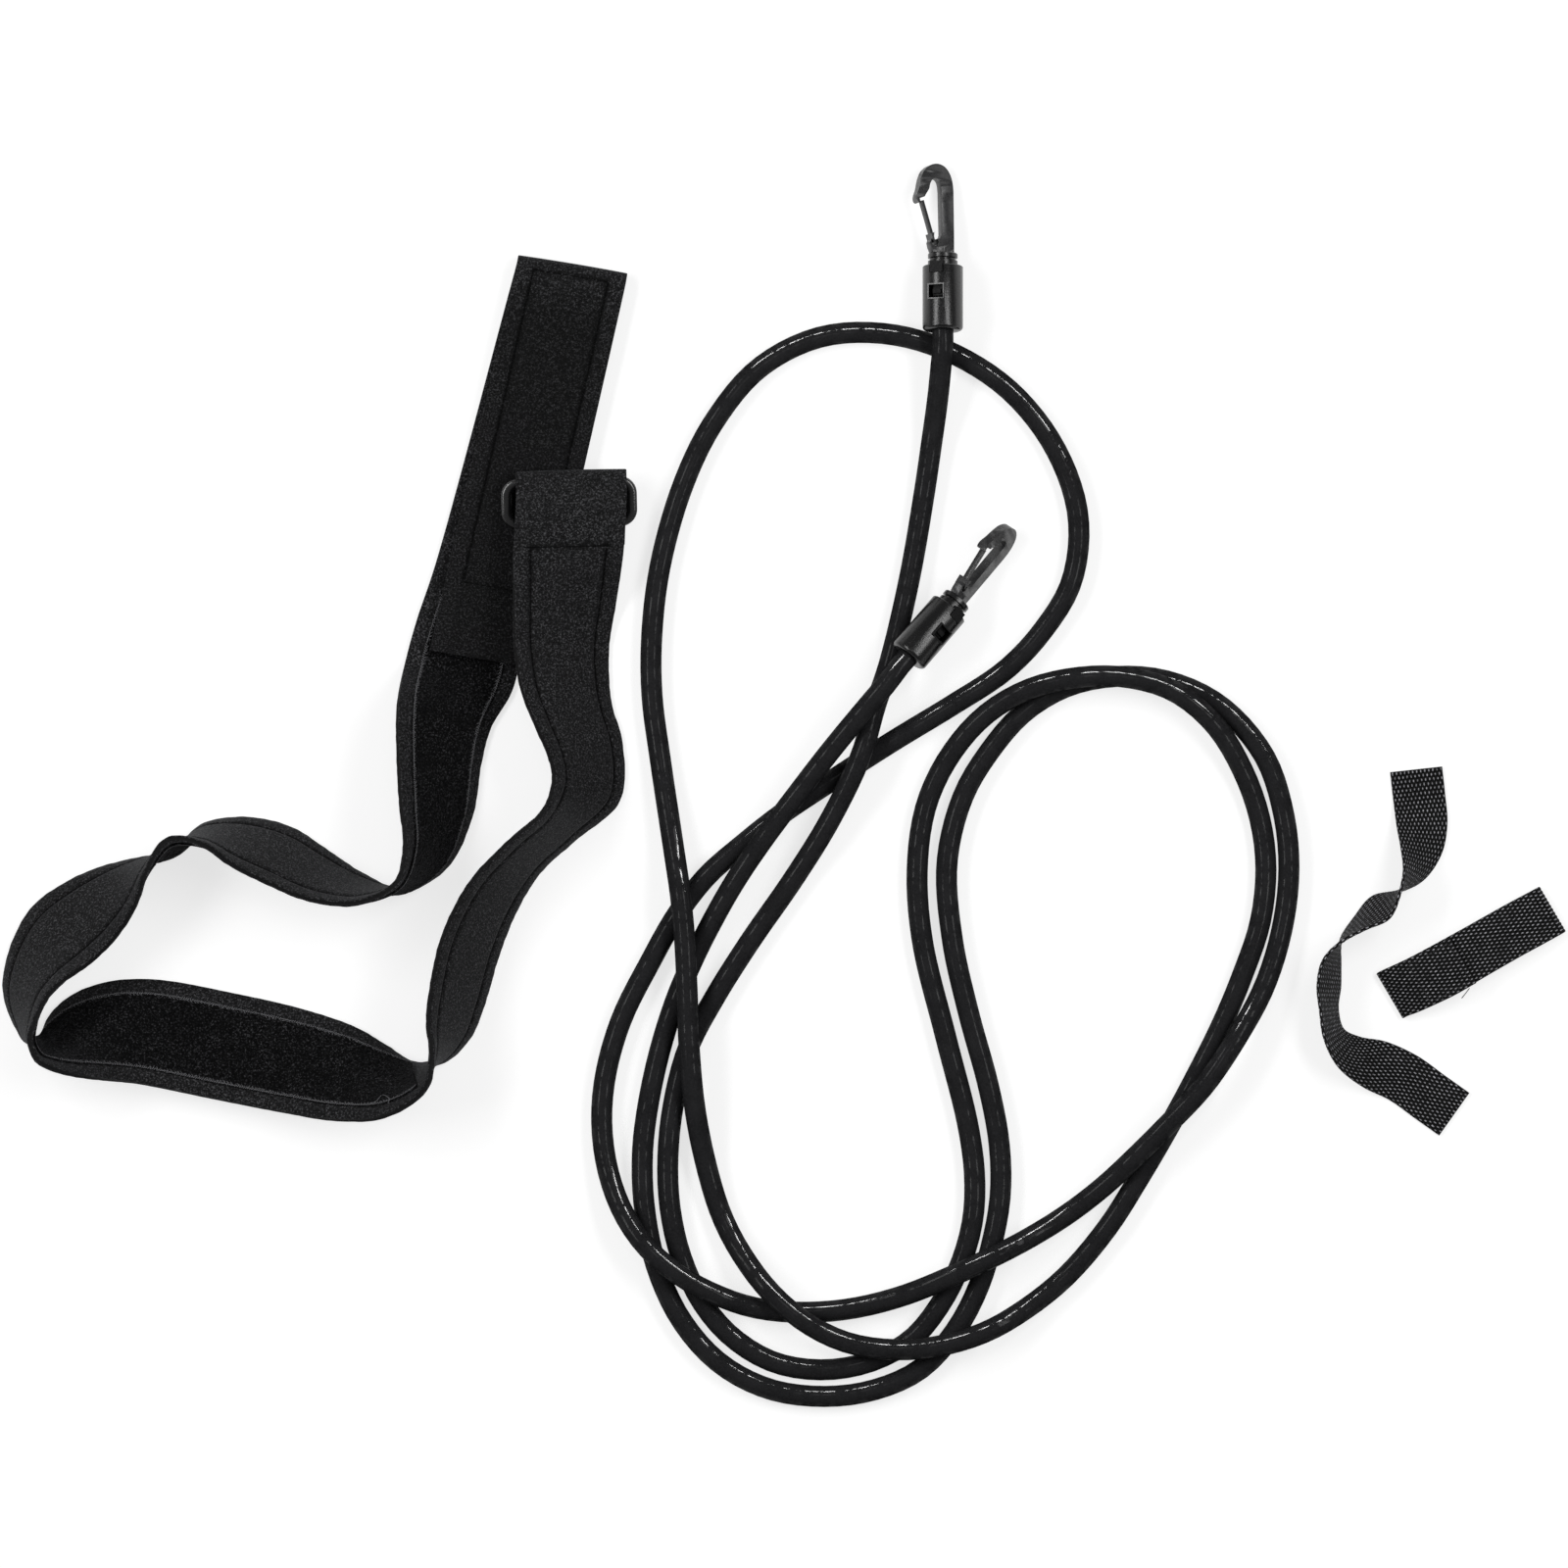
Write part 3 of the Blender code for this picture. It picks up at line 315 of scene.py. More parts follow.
# Rear centre of each barrel in pixels, and its height as a share of the barrel's radius
FITTING_PIXELS = {"a": (962.0, 337.5), "b": (926.2, 670.5)}
FITTING_HEIGHT_SHARES = {"a": 1.705, "b": 2.137}

# Degrees: heading clockwise from +Y, tilt down towards the hook, the barrel's roll and the hook's roll
FITTING_DEGREES = {"a": (0.0, 10.0, -20.0, 25.0), "b": (40.6, 12.5, 33.0, 58.0)}

# The tube's route from fitting a to fitting b: x, y and height if it is off the floor, in millimetres
MILLIMETRE = 0.001
TUBE_ROUTE = (
    (74.3, 139, 16.6), (72.3, 119, 11.8), (69.7, 100, 6.6), (65.6, 72), (59, 34), (49.6, -6, 6.5),
    (43, -26, 11), (36, -50, 16.6), (21, -81, 10.5), (3.5, -109), (-16, -137), (-33, -164), (-45, -187),
    (-52, -214), (-54.5, -238), (-53.5, -262), (-48, -286), (-38, -307), (-24, -323), (-4.5, -334.5),
    (18.5, -338), (41, -334), (60, -323.5), (73.5, -307), (83, -288), (88.5, -268), (89.5, -248),
    (86.5, -224), (76, -182), (65, -137), (62.5, -104), (66.5, -74), (77, -51, 5.6), (94, -31, 9.5),
    (115, -18.5, 14.5), (138, -13, 15.8), (161, -13, 15.8), (183, -19.5, 15.6), (202, -35, 12),
    (215.5, -57, 7.2), (223.5, -80), (226.2, -103), (223.5, -128), (215.5, -152), (205.5, -176), (192, -203),
    (179.5, -226), (166, -249), (152, -271), (133, -293.5), (114, -309, 7.5), (94, -320.5, 14),
    (72, -327, 16.2), (50, -328.5, 15.8), (29, -325, 15), (10.5, -316, 16.6), (-6, -302, 14.8),
    (-20, -283.5, 8), (-29.5, -265), (-37, -240, 6.5), (-42, -214, 13), (-44.5, -187, 15.8),
    (-45.5, -160, 15.8), (-46.5, -138, 15.8), (-48.5, -116, 16.3), (-52, -92, 9.5), (-58, -52), (-62, -21),
    (-62, 8), (-58, 40), (-47.5, 77), (-33.5, 106), (-12, 132), (16, 146.5), (46, 148.5), (75, 141),
    (105, 122.5), (127, 95), (138, 63), (135, 32), (121.5, 9), (104, -9.5), (79, -26), (51, -43), (23, -61),
    (-1, -77), (-20, -92), (-36, -106), (-50, -124), (-62.5, -146), (-76.5, -174), (-84, -201), (-85.5, -224),
    (-82, -247, 7), (-74, -267, 12.5), (-62.5, -282.5, 16.3), (-47, -295, 16.9), (-29, -304, 13.3),
    (-13, -309, 6.5), (6, -311), (30, -309.5, 6), (55, -303.5, 11), (80, -293.5, 16.3), (95, -286.5, 16.9),
    (113.5, -277, 11.4), (133, -265, 6.5), (150.5, -251.5, 9.5), (166, -237, 14), (181, -222, 15.8),
    (197, -205, 15.8), (212, -183, 14), (225.5, -158, 7.5), (234, -130), (237, -103), (234.5, -77),
    (225.5, -50), (205, -26.5), (181, -15), (157, -12.5), (133.5, -17), (113, -29), (97, -47), (84, -69),
    (76.5, -100), (79, -136), (86.5, -170), (96, -205), (101, -232), (101.5, -256), (97.5, -279),
    (90.5, -301), (79.5, -321), (63.5, -338), (42, -347.5), (18.5, -350.5), (-7, -347), (-30, -335),
    (-48, -315), (-60, -289), (-65.5, -262), (-66.5, -238), (-64.5, -218), (-59, -191), (-51, -165),
    (-42.5, -145), (-34, -128, 6.5), (-23.5, -109.5, 11), (-11.5, -91.5, 15.4), (6, -68, 16.2),
    (23, -46, 19.5), (40, -25.5, 22.5), (50.5, -13, 22.6),
)

# The snap hook's outline: across and along, as shares of the hook's width and length
HOOK_OUTER_SHARES = (
    (0.253, 0.0), (0.253, 0.167), (0.240, 0.548), (0.224, 0.762), (0.153, 0.881), (0.011, 0.967),
    (-0.189, 1.0), (-0.400, 0.976), (-0.563, 0.910), (-0.653, 0.814), (-0.705, 0.702),
    (-0.768, 0.610), (-0.750, 0.560), (-0.700, 0.543),
)
HOOK_LIP_SHARES = ((-0.660, 0.555), (-0.680, 0.595), (-0.640, 0.609), (-0.545, 0.617))
HOOK_INNER_SHARES = (
    (-0.495, 0.657), (-0.421, 0.714), (-0.395, 0.769), (-0.326, 0.819), (-0.232, 0.836),
    (-0.147, 0.810), (-0.100, 0.738), (-0.084, 0.548), (-0.063, 0.200),
)
HOOK_BASE_SHARES = ((-0.100, 0.160), (-0.168, 0.150), (-0.363, 0.143), (-0.395, 0.107), (-0.368, 0.052),
                    (-0.316, 0.0))
GATE_PIVOT_SHARES = (-0.263, 0.1095)
GATE_TIP_SHARES = (-0.5874, 0.575)
GATE_ACROSS = (GATE_PIVOT_SHARES[0] - GATE_TIP_SHARES[0]) * HOOK_WIDTH
GATE_ALONG = (GATE_TIP_SHARES[1] - GATE_PIVOT_SHARES[1]) * HOOK_LENGTH
GATE_LENGTH = math.hypot(GATE_ACROSS, GATE_ALONG)
GATE_LEAN_DEGREES = math.degrees(math.atan2(GATE_ACROSS, GATE_ALONG))

COLLAR_START = BARREL_LENGTH + GAP
COLLAR_END = COLLAR_START + COLLAR_LENGTH
HOOK_START = COLLAR_END + GAP
SEAT_START = COLLAR_START - SEAT_INSERT_LENGTH
WEB_START = COLLAR_START - SEAT_WEB
HEAD_END = WEB_START - GAP
INSERT_RADIUS = BARREL_CAVITY_RADIUS - GAP
FINGER_TOP = (INSERT_RADIUS ** 2 - FINGER_WIDTH ** 2 / 4) ** 0.5 - GAP
PLUG_START = TUBE_INSERT + GAP


def floor_place(pixels, height=0.0):
    """The point over a pixel of the photograph, at a height above the floor."""
    x, y = pixels
    return Vector(((x - ORIGIN_PIXELS[0]) * PIXEL, (ORIGIN_PIXELS[1] - y) * PIXEL, height))


def direction(degrees):
    angle = math.radians(degrees)
    return Vector((math.cos(angle), math.sin(angle), 0.0))


def smooth_points(points, steps):
    """Points of a centripetal Catmull-Rom curve, with so many steps in each span."""
    ends = [2 * points[0] - points[1]] + list(points) + [2 * points[-1] - points[-2]]
    curve = []
    for index in range(1, len(ends) - 2):
        p0, p1, p2, p3 = ends[index - 1:index + 3]
        t0 = 0.0
        t1 = t0 + (p1 - p0).length ** 0.5
        t2 = t1 + (p2 - p1).length ** 0.5
        t3 = t2 + (p3 - p2).length ** 0.5
        for step in range(steps):
            t = t1 + (t2 - t1) * step / steps
            a1 = p0.lerp(p1, (t - t0) / (t1 - t0))
            a2 = p1.lerp(p2, (t - t1) / (t2 - t1))
            a3 = p2.lerp(p3, (t - t2) / (t3 - t2))
            b1 = a1.lerp(a2, (t - t0) / (t2 - t0))
            b2 = a2.lerp(a3, (t - t1) / (t3 - t1))
            curve.append(b1.lerp(b2, (t - t1) / (t2 - t1)))
    curve.append(points[-1].copy())
    return curve


def run_lengths(points):
    """How far along the line each of its points is."""
    steps = np.linalg.norm(np.diff(points, axis=0), axis=1)
    return np.concatenate(([0.0], np.cumsum(steps)))


def resample(points, places, alongs):
    """The line's points at the given distances along it."""
    return np.stack([np.interp(alongs, places, points[:, axis]) for axis in range(3)], axis=1)


class Shader:
    """A Principled material built up from nodes."""

    def __init__(self, name, colour, roughness, specular=0.5, sheen=0.0):
        self.material = bpy.data.materials.new(name)
        self.material.use_nodes = True
        self.tree = self.material.node_tree
        self.bsdf = self.tree.nodes["Principled BSDF"]
        self.surface("Base Color", colour)
        self.surface("Roughness", roughness)
        self.surface("Specular IOR Level", specular)
        if sheen:
            self.surface("Sheen Weight", sheen)
            self.surface("Sheen Roughness", SHEEN_ROUGHNESS)
            self.surface("Sheen Tint", SHEEN_TINT)
        self.height = None

    def set(self, node, socket, value):
        if isinstance(value, bpy.types.NodeSocket):
            self.tree.links.new(value, node.inputs[socket])
        else:
            node.inputs[socket].default_value = value

    def surface(self, socket, value):
        self.set(self.bsdf, socket, value)

    def node(self, kind, settings=(), **inputs):
        """A new node; an input is given by its name, or by i and its number."""
        node = self.tree.nodes.new("ShaderNode" + kind)
        for key, value in settings:
            setattr(node, key, value)
        for key, value in inputs.items():
            self.set(node, key if not key.startswith("i") else int(key[1:]), value)
        return node

    def place(self, source="Object"):
        return self.node("TexCoord").outputs[source]

    def attribute(self, name):
        return self.node("Attribute", (("attribute_name", name),)).outputs["Fac"]

    def noise(self, size, detail=2.0, rough=0.55):
        """Noise whose features are about so many metres across."""
        node = self.node("TexNoise", Vector=self.place(), Scale=1.0 / size, Detail=detail, Roughness=rough)
        return node.outputs["Fac"]

    def ramp(self, value, *stops):
        """Colours or shares at stops of the value."""
        node = self.node("ValToRGB", Fac=value)
        ramp = node.color_ramp
        while len(ramp.elements) < len(stops):
            ramp.elements.new(0.5)
        for element, (position, colour) in zip(ramp.elements, stops):
            element.position = position
            element.color = colour if hasattr(colour, "__len__") else grey(colour, 1.0)
        return node.outputs["Color"]

    def math(self, operation, first, second=0.0, third=0.0):
        node = self.node("Math", (("operation", operation),), i0=first, i1=second, i2=third)
        return node.outputs[0]

    def mix(self, share, first, second):
        node = self.node("Mix", (("data_type", "RGBA"),), i0=share, i6=first, i7=second)
        return node.outputs[2]

    def wave(self, operation, axis, turn):
        """The sine or cosine of the strip's own coordinate across, 0, or along, 1."""
        split = self.node("SeparateXYZ", Vector=self.place("UV"))
        return self.math(operation, self.math("MULTIPLY", split.outputs[axis], turn))

    def seen(self):
        """1 on rays from the camera, a reflection or a clear body, and 0 on light's own way."""
        rays = self.node("LightPath").outputs
        mirrored = self.math("MAXIMUM", rays["Is Glossy Ray"], rays["Is Transmission Ray"])
        return self.math("MAXIMUM", rays["Is Camera Ray"], mirrored)

    def bump(self, height, distance, strength=1.0):
        """Adds one more height to the surface's relief."""
        node = self.node("Bump", Height=height, Distance=distance, Strength=strength)
        if self.height:
            self.set(node, "Normal", self.height)
        self.height = node.outputs["Normal"]
        self.surface("Normal", self.height)


def grey(value, cool=1.06):
    return (value, value, value * cool, 1.0)


# Widths of the cloth's stitches and of its grain, patches and puckers, then their relief: depth and strength
KNIT_TONES = (0.0060, 0.0125)
KNIT_COLUMN = 0.00110
KNIT_ROW = 0.00085
CLOTH_GRAIN = 0.0009
KNIT_PATCH = 0.022
PUCKER = 0.0026
KNIT_RELIEFS = ((-0.0012, 0.8), (0.0006, 0.6), (0.00018, 0.6), (0.00026, 0.7))


def knit_material():
    """Jersey over foam: fine knit, a soft nap and paler flecks, with painted shade in the seams' grooves and
    over the flap.
    """
    dark, light = KNIT_TONES
    shader = Shader("belt_knit", grey(dark), 0.85, specular=0.14, sheen=0.06)
    across = shader.wave("SINE", 0, 2 * math.pi / KNIT_COLUMN)
    along = shader.wave("SINE", 1, 2 * math.pi / KNIT_ROW)
    weave = shader.math("MULTIPLY_ADD", shader.math("MULTIPLY", across, along), 0.5, 0.5)
    grain = shader.noise(CLOTH_GRAIN, 3.0, 0.8)
    patch = shader.noise(KNIT_PATCH, 3.0)
    flecks = shader.ramp(grain, (0.44, grey(dark * 0.05)), (0.54, grey(light)), (0.63, grey(light * 9.0)))
    plain = shader.ramp(weave, (0.0, grey(dark * 0.35)), (1.0, grey(light * 1.3)))
    rubbed = shader.ramp(grain, (0.3, grey(dark)), (0.8, grey(light * 1.5)))
    worn = shader.mix(shader.ramp(patch, (0.3, 0.0), (0.7, 0.25)), shader.mix(0.25, flecks, plain), rubbed)
    # Painted shade: the flap attribute darkens the jersey over the flap, more between its seams
    flap_shaded_knit = shader.mix(shader.math("MULTIPLY", shader.attribute("flap"), 0.62), worn, grey(dark * 0.05))
    sewn = shader.attribute("sewn")
    puckers = shader.noise(PUCKER, 2.0, 0.6)
    # Painted shade in the seams' grooves and across the stitched bars, broken into dashes by the puckers
    painted_groove_shade = shader.math("MULTIPLY", sewn, shader.ramp(puckers, (0.42, 0.15), (0.52, 1.0)))
    shader.surface("Base Color", shader.mix(painted_groove_shade, flap_shaded_knit, grey(dark * 0.08)))
    shader.surface("Roughness", shader.ramp(grain, (0.3, 0.9), (0.7, 0.72)))
    for height, relief in zip((shader.math("MULTIPLY", sewn, puckers), patch, weave, grain), KNIT_RELIEFS):
        shader.bump(height, *relief)
    return shader.material


# Dark and light tones of the tapes, and the widths of the pile's loops and patches
PILE_TONES = (0.0022, 0.0045)
HOOK_TAPE_TONES = (0.003, 0.006)
PILE_LOOP = 0.0012
PILE_PATCH = 0.012
PILE_RELIEFS = ((0.0006, 0.8), (0.0004, 0.8))


def pile_material(name, dark, light):
    """Loop pile: dark and rough, with a relief of tiny loops, and pale flecks painted on as their highlights.
    """
    shader = Shader(name, grey(dark), 0.95, specular=0.08, sheen=0.04)
    loops = shader.node("TexVoronoi", Vector=shader.place(), Scale=1.0 / PILE_LOOP).outputs["Distance"]
    grain = shader.noise(CLOTH_GRAIN, 3.0, 0.8)
    patch = shader.noise(PILE_PATCH, 3.0)
    # Painted highlight: pale flecks stand in for light caught by the loops
    flecks = shader.ramp(grain, (0.45, grey(dark * 0.5)), (0.55, grey(light)), (0.64, grey(light * 14.0)))
    shaded = shader.mix(shader.ramp(patch, (0.35, 0.0), (0.7, 0.5)), flecks, grey(dark * 0.6))
    shader.surface("Base Color", shaded)
    for height, relief in zip((loops, grain), PILE_RELIEFS):
        shader.bump(height, *relief)
    return shader.material


# Width of the grain on threads and cut foam, its relief, and the foam's tones: dark, middle and light
THREAD_GRAIN = 0.0005
FOAM_GRAIN = 0.0004
FINE_RELIEF = (0.0001, 0.6)
FOAM_TONES = (0.003, 0.006, 0.010)


def thread_material(name, tone, specular):
    """Twisted thread."""
    shader = Shader(name, grey(tone), 0.6, specular=specular)
    grain = shader.noise(THREAD_GRAIN)
    shader.surface("Base Color", shader.ramp(grain, (0.3, grey(tone * 0.5)), (0.7, grey(tone * 1.5))))
    shader.bump(grain, *FINE_RELIEF)
    return shader.material


def foam_material():
    dark, middle, light = FOAM_TONES
    shader = Shader("foam_edge", grey(middle), 0.8, specular=0.15)
    cells = shader.noise(FOAM_GRAIN)
    shader.surface("Base Color", shader.ramp(cells, (0.3, grey(dark)), (0.7, grey(light))))
    shader.bump(cells, *FINE_RELIEF)
    return shader.material


# The webbing's dark tone, also that of the painted shade in the gaps, and the tone of the painted highlight
# on the crowns
WEBBING_TONES = (0.0035, 0.15)
FIBRE = 0.0007
WEBBING_PATCH = 0.004


def webbing_material():
    """Thick woven yarn: a painted highlight on each float's crown and painted shade in the gap beside it."""
    dark, light = WEBBING_TONES
    shader = Shader("webbing_yarn", grey(dark), 0.6, specular=0.12)
    across = shader.wave("COSINE", 0, 2 * math.pi / WEAVE_ACROSS)
    along = shader.wave("SINE", 1, math.pi / WEAVE_ALONG)
    crown = shader.math("MULTIPLY_ADD", shader.math("MULTIPLY", across, along), -0.5, 0.5)
    fibres = shader.noise(FIBRE, 3.0, 0.75)
    patch = shader.noise(WEBBING_PATCH, 3.0, 0.6)
    # Painted highlight on the crowns and painted shade in the gaps, broken up by the fibres
    lit = shader.math("MULTIPLY_ADD", shader.math("SUBTRACT", fibres, 0.5), 0.9, crown)
    floats = shader.ramp(lit, (0.48, grey(dark * 0.05)), (0.70, grey(dark * 1.6)), (0.83, grey(light)),
                         (0.95, grey(light * 3.0)))
    shaded = shader.mix(shader.ramp(patch, (0.35, 0.0), (0.7, 0.6)), floats, grey(dark * 0.8))
    shader.surface("Base Color", shaded)
    shader.surface("Roughness", shader.ramp(fibres, (0.3, 0.7), (0.7, 0.45)))
    shader.bump(fibres, *FINE_RELIEF)
    return shader.material


RUBBER_TONES = (0.014, 0.023)
RUBBER_GRAIN = 0.0011
RUBBER_PATCH = 0.014
RUBBER_RELIEFS = ((0.0002, 0.3), (0.00005, 0.6))


def rubber_material():
    """Dipped rubber: matt, with glossy patches, faint flow marks and a fine grain."""
    dark, light = RUBBER_TONES
    shader = Shader("tube_rubber", grey(dark), 0.55, specular=0.0)
    grain = shader.noise(RUBBER_GRAIN, 4.0, 0.75)
    gloss = shader.noise(GLINT_DASH, 4.0, 0.7)
    patch = shader.noise(RUBBER_PATCH, 4.0, 0.6)
    shader.surface("Coat Roughness", GLINT_ROUGHNESS)
    shader.surface("Coat Weight", shader.ramp(gloss, (0.44, 0.0), (0.56, GLINT_GLOSS)))
    shaded = shader.mix(shader.ramp(patch, (0.3, 0.0), (0.75, 0.5)),
                        shader.ramp(grain, (0.3, grey(dark * 0.7)), (0.75, grey(light))), grey(light * 1.15))
    shader.surface("Base Color", shaded)
    shader.surface("Roughness", shader.ramp(patch, (0.3, 0.62), (0.7, 0.50)))
    for height, relief in zip((patch, grain), RUBBER_RELIEFS):
        shader.bump(height, *relief)
    return shader.material


# Moulded plastics: dark and light tone, roughness, width of the grain and specular level
BARREL_LOOK = (0.002, 0.005, 0.20, 0.0007, 0.55)
HOOK_LOOK = (0.004, 0.014, 0.29, 0.0010, 0.6)
# The plug's and the seat's inner parts' tone, darker than the barrel's: painted shade of the barrel's hollow
HOLLOW_SHADE_LOOK = (0.002, 0.004, 0.5, 0.0006, 0.2)
RING_LOOK = (0.003, 0.010, 0.20, 0.0008, 0.9)
PLASTIC_PATCH = 0.0035
PLASTIC_RELIEFS = ((0.00012, 0.3), (0.00008, 0.8))


def plastic_material(name, dark, light, roughness, grain_size, specular):
    """Moulded plastic with a spark-eroded grain and rubbed edges."""
    shader = Shader(name, grey(dark), roughness, specular=specular)
    grain = shader.noise(grain_size, 3.0, 0.75)
    patch = shader.noise(PLASTIC_PATCH, 3.0, 0.6)
    edge = shader.node("NewGeometry").outputs["Pointiness"]
    rubbed = shader.ramp(edge, (0.52, 0.0), (0.6, 0.5))
    colour = shader.ramp(grain, (0.35, grey(dark * 0.6)), (0.7, grey(light)))
    shader.surface("Base Color", shader.mix(rubbed, colour, grey(light * 2.0)))
    shader.surface("Roughness", shader.ramp(grain, (0.35, roughness * 1.5), (0.65, roughness * 0.8)))
    for height, relief in zip((patch, grain), PLASTIC_RELIEFS):
        shader.bump(height, *relief)
    return shader.material


def add_object(name, data):
    item = bpy.data.objects.new(name, data)
    bpy.context.scene.collection.objects.link(item)
    return item


def add_curve(name, dimensions, points, cyclic=False):
    """A curve of straight runs through the points."""
    curve = bpy.data.curves.new(name, "CURVE")
    curve.dimensions = dimensions
    spline = curve.splines.new("POLY")
    spline.points.add(len(points) - 1)
    for point, place in zip(spline.points, points):
        point.co = (*place, 1.0)
    spline.use_cyclic_u = cyclic
    return curve


def make_mesh(name, vertices, faces, material, uvs=None, smooth=True):
    mesh = bpy.data.meshes.new(name)
    mesh.from_pydata(np.asarray(vertices).tolist(), [], faces)
    if uvs is not None:
        layer = mesh.uv_layers.new(name="strip")
        indices = np.empty(len(mesh.loops), dtype=np.int32)
        mesh.loops.foreach_get("vertex_index", indices)
        layer.data.foreach_set("uv", np.asarray(uvs, dtype=np.float32)[indices].ravel())
    mesh.materials.append(material)
    mesh.polygons.foreach_set("use_smooth", [smooth] * len(mesh.polygons))
    mesh.validate()
    mesh.update()
    return add_object(name, mesh)


def mend(mesh, merge=False, dissolve=False, outward=False):
    """Merges points, takes out faces with no area and turns the rest outward, as asked."""
    work = bmesh.new()
    work.from_mesh(mesh)
    if merge:
        bmesh.ops.remove_doubles(work, verts=work.verts, dist=MERGE_DISTANCE)
    if dissolve:
        bmesh.ops.dissolve_degenerate(work, edges=work.edges, dist=MERGE_DISTANCE)
    if outward:
        bmesh.ops.recalc_face_normals(work, faces=work.faces)
    work.to_mesh(mesh)
    work.free()


def recalculate(item, degrees):
    """Turns the faces outward and keeps edges sharper than the angle crisp."""
    mend(item.data, outward=True)
    item.data.set_sharp_from_angle(angle=math.radians(degrees))
    return item


def dress(item, body, node=None):
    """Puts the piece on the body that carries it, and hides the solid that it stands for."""
    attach(item, body)
    if node:
        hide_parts(node)


def grid_faces(rows, columns, ends=False, ring=False):
    """Quads between rings of points; ends adds two caps, and ring joins the last ring to the first."""
    faces = []
    for row in range(rows if ring else rows - 1):
        start, following = row * columns, (row + 1) % rows * columns
        for column in range(columns):
            after = (column + 1) % columns
            faces.append((start + column, start + after, following + after, following + column))
    if ends:
        faces.append(tuple(range(columns)))
        faces.append(tuple(range((rows - 1) * columns, rows * columns))[::-1])
    return faces


class Strip:
    """A ribbon's two edges, with the distance along its middle."""

    def __init__(self, near, far, width, thickness):
        self.near, self.far = np.array(near), np.array(far)
        self.width, self.thickness = width, thickness
        self.places = run_lengths((self.near + self.far) / 2)
        self.length = self.places[-1]

    def surface(self, alongs, shares):
        """Points and pile-side normals at shares across and distances along."""
        near = resample(self.near, self.places, alongs)
        far = resample(self.far, self.places, alongs)
        shares = np.asarray(shares)[None, :, None]
        grid = near[:, None] * (1.0 - shares) + far[:, None] * shares
        rows = np.arange(len(alongs))
        run = grid[np.minimum(rows + 1, len(rows) - 1)] - grid[np.maximum(rows - 1, 0)]
        face = np.cross((far - near)[:, None], run)
        face /= np.linalg.norm(face, axis=2, keepdims=True)
        floor = np.abs(face[..., 2]) * self.thickness / 2
        grid[..., 2] = np.maximum(grid[..., 2], floor)
        return grid, face

    def line(self, start, end, across, offset):
        """A line along the strip: its points and normals, at an offset towards the pile side."""
        alongs = np.linspace(start, end, max(3, int(abs(end - start) / LINE_STEP)))
        grid, face = self.surface(alongs, [across / self.width])
        return grid[:, 0] + face[:, 0] * offset, face[:, 0] * np.sign(offset or 1.0)

    def crossing(self, along, start, end, offset):
        """A line across the strip."""
        shares = np.linspace(start, end, max(3, int(abs(end - start) / LINE_STEP))) / self.width
        grid, face = self.surface(np.array([along - LINE_STEP, along, along + LINE_STEP]), shares)
        return grid[1] + face[1] * offset, face[1] * np.sign(offset or 1.0)

    def over(self, pixels, offset):
        """A smooth line over the strip's upward side, through pixels of the photograph."""
        rows, columns = SEARCH_GRID
        grid, face = self.surface(np.linspace(0.0, self.length, rows), np.linspace(0.0, 1.0, columns))
        upward = np.where(face[..., 2:] < 0, -face, face)
        points, normals = [], []
        for place in smooth_points([floor_place(pixel) for pixel in pixels], LOOSE_STEPS):
            gap = np.linalg.norm(grid[..., :2] - np.array(place)[:2], axis=2) - grid[..., 2] / HEIGHT_PULL
            nearest = np.unravel_index(np.argmin(gap), gap.shape)
            points.append(np.array((place.x, place.y, grid[nearest][2])) + upward[nearest] * offset)
            normals.append(upward[nearest])
        return np.array(points), np.array(normals)


def strip_solid(name, strip, alongs, across, offsets, material, shift=0.0):
    """A closed solid along a strip; offsets is the profile's height at each row and place across."""
    grid, face = strip.surface(alongs, np.asarray(across) / strip.width)
    points = (grid + face * offsets[:, :, None]).reshape(-1, 3)
    faces = grid_faces(len(alongs), len(across), ends=True)
    places = (np.asarray(across) + shift)[None, :]
    uvs = np.stack(np.broadcast_arrays(places, np.asarray(alongs)[:, None]), axis=2)
    return recalculate(make_mesh(name, points, faces, material, uvs.reshape(-1, 2)), STRIP_CREASE)


def beads(lines, pitch, length, radius, turn=0.0, jitter=0.0, seed=1):
    """Stitches: small capsules set end to end on lines of points with normals."""
    random = np.random.default_rng(seed)
    template = []
    for along, share in BEAD_RINGS:
        for side in range(BEAD_SIDES):
            angle = 2 * math.pi * side / BEAD_SIDES
            template.append((along * length, math.cos(angle) * radius * share,
                             math.sin(angle) * radius * share * BEAD_FLATNESS))
    template = np.array(template)
    shape = grid_faces(len(BEAD_RINGS), BEAD_SIDES, ends=True)
    vertices, faces = [], []
    for points, normals in lines:
        places = run_lengths(points)
        count = max(1, round(places[-1] / pitch))
        alongs = (np.arange(count) + 0.5) * places[-1] / count
        centres = resample(points, places, alongs)
        ups = resample(normals, places, alongs)
        ahead = resample(points, places, alongs + pitch / 4) - resample(points, places, alongs - pitch / 4)
        for centre, up, along in zip(centres, ups, ahead):
            along = along / np.linalg.norm(along)
            up = up - along * up.dot(along)
            up = up / np.linalg.norm(up)
            side = np.cross(up, along)
            angle = turn + random.normal() * jitter
            first = along * math.cos(angle) + side * math.sin(angle)
            second = side * math.cos(angle) - along * math.sin(angle)
            base = len(vertices) * len(template)
            vertices.append(centre + template @ np.stack((first, second, up)))
            faces += [tuple(index + base for index in face) for face in shape]
    return np.concatenate(vertices), faces


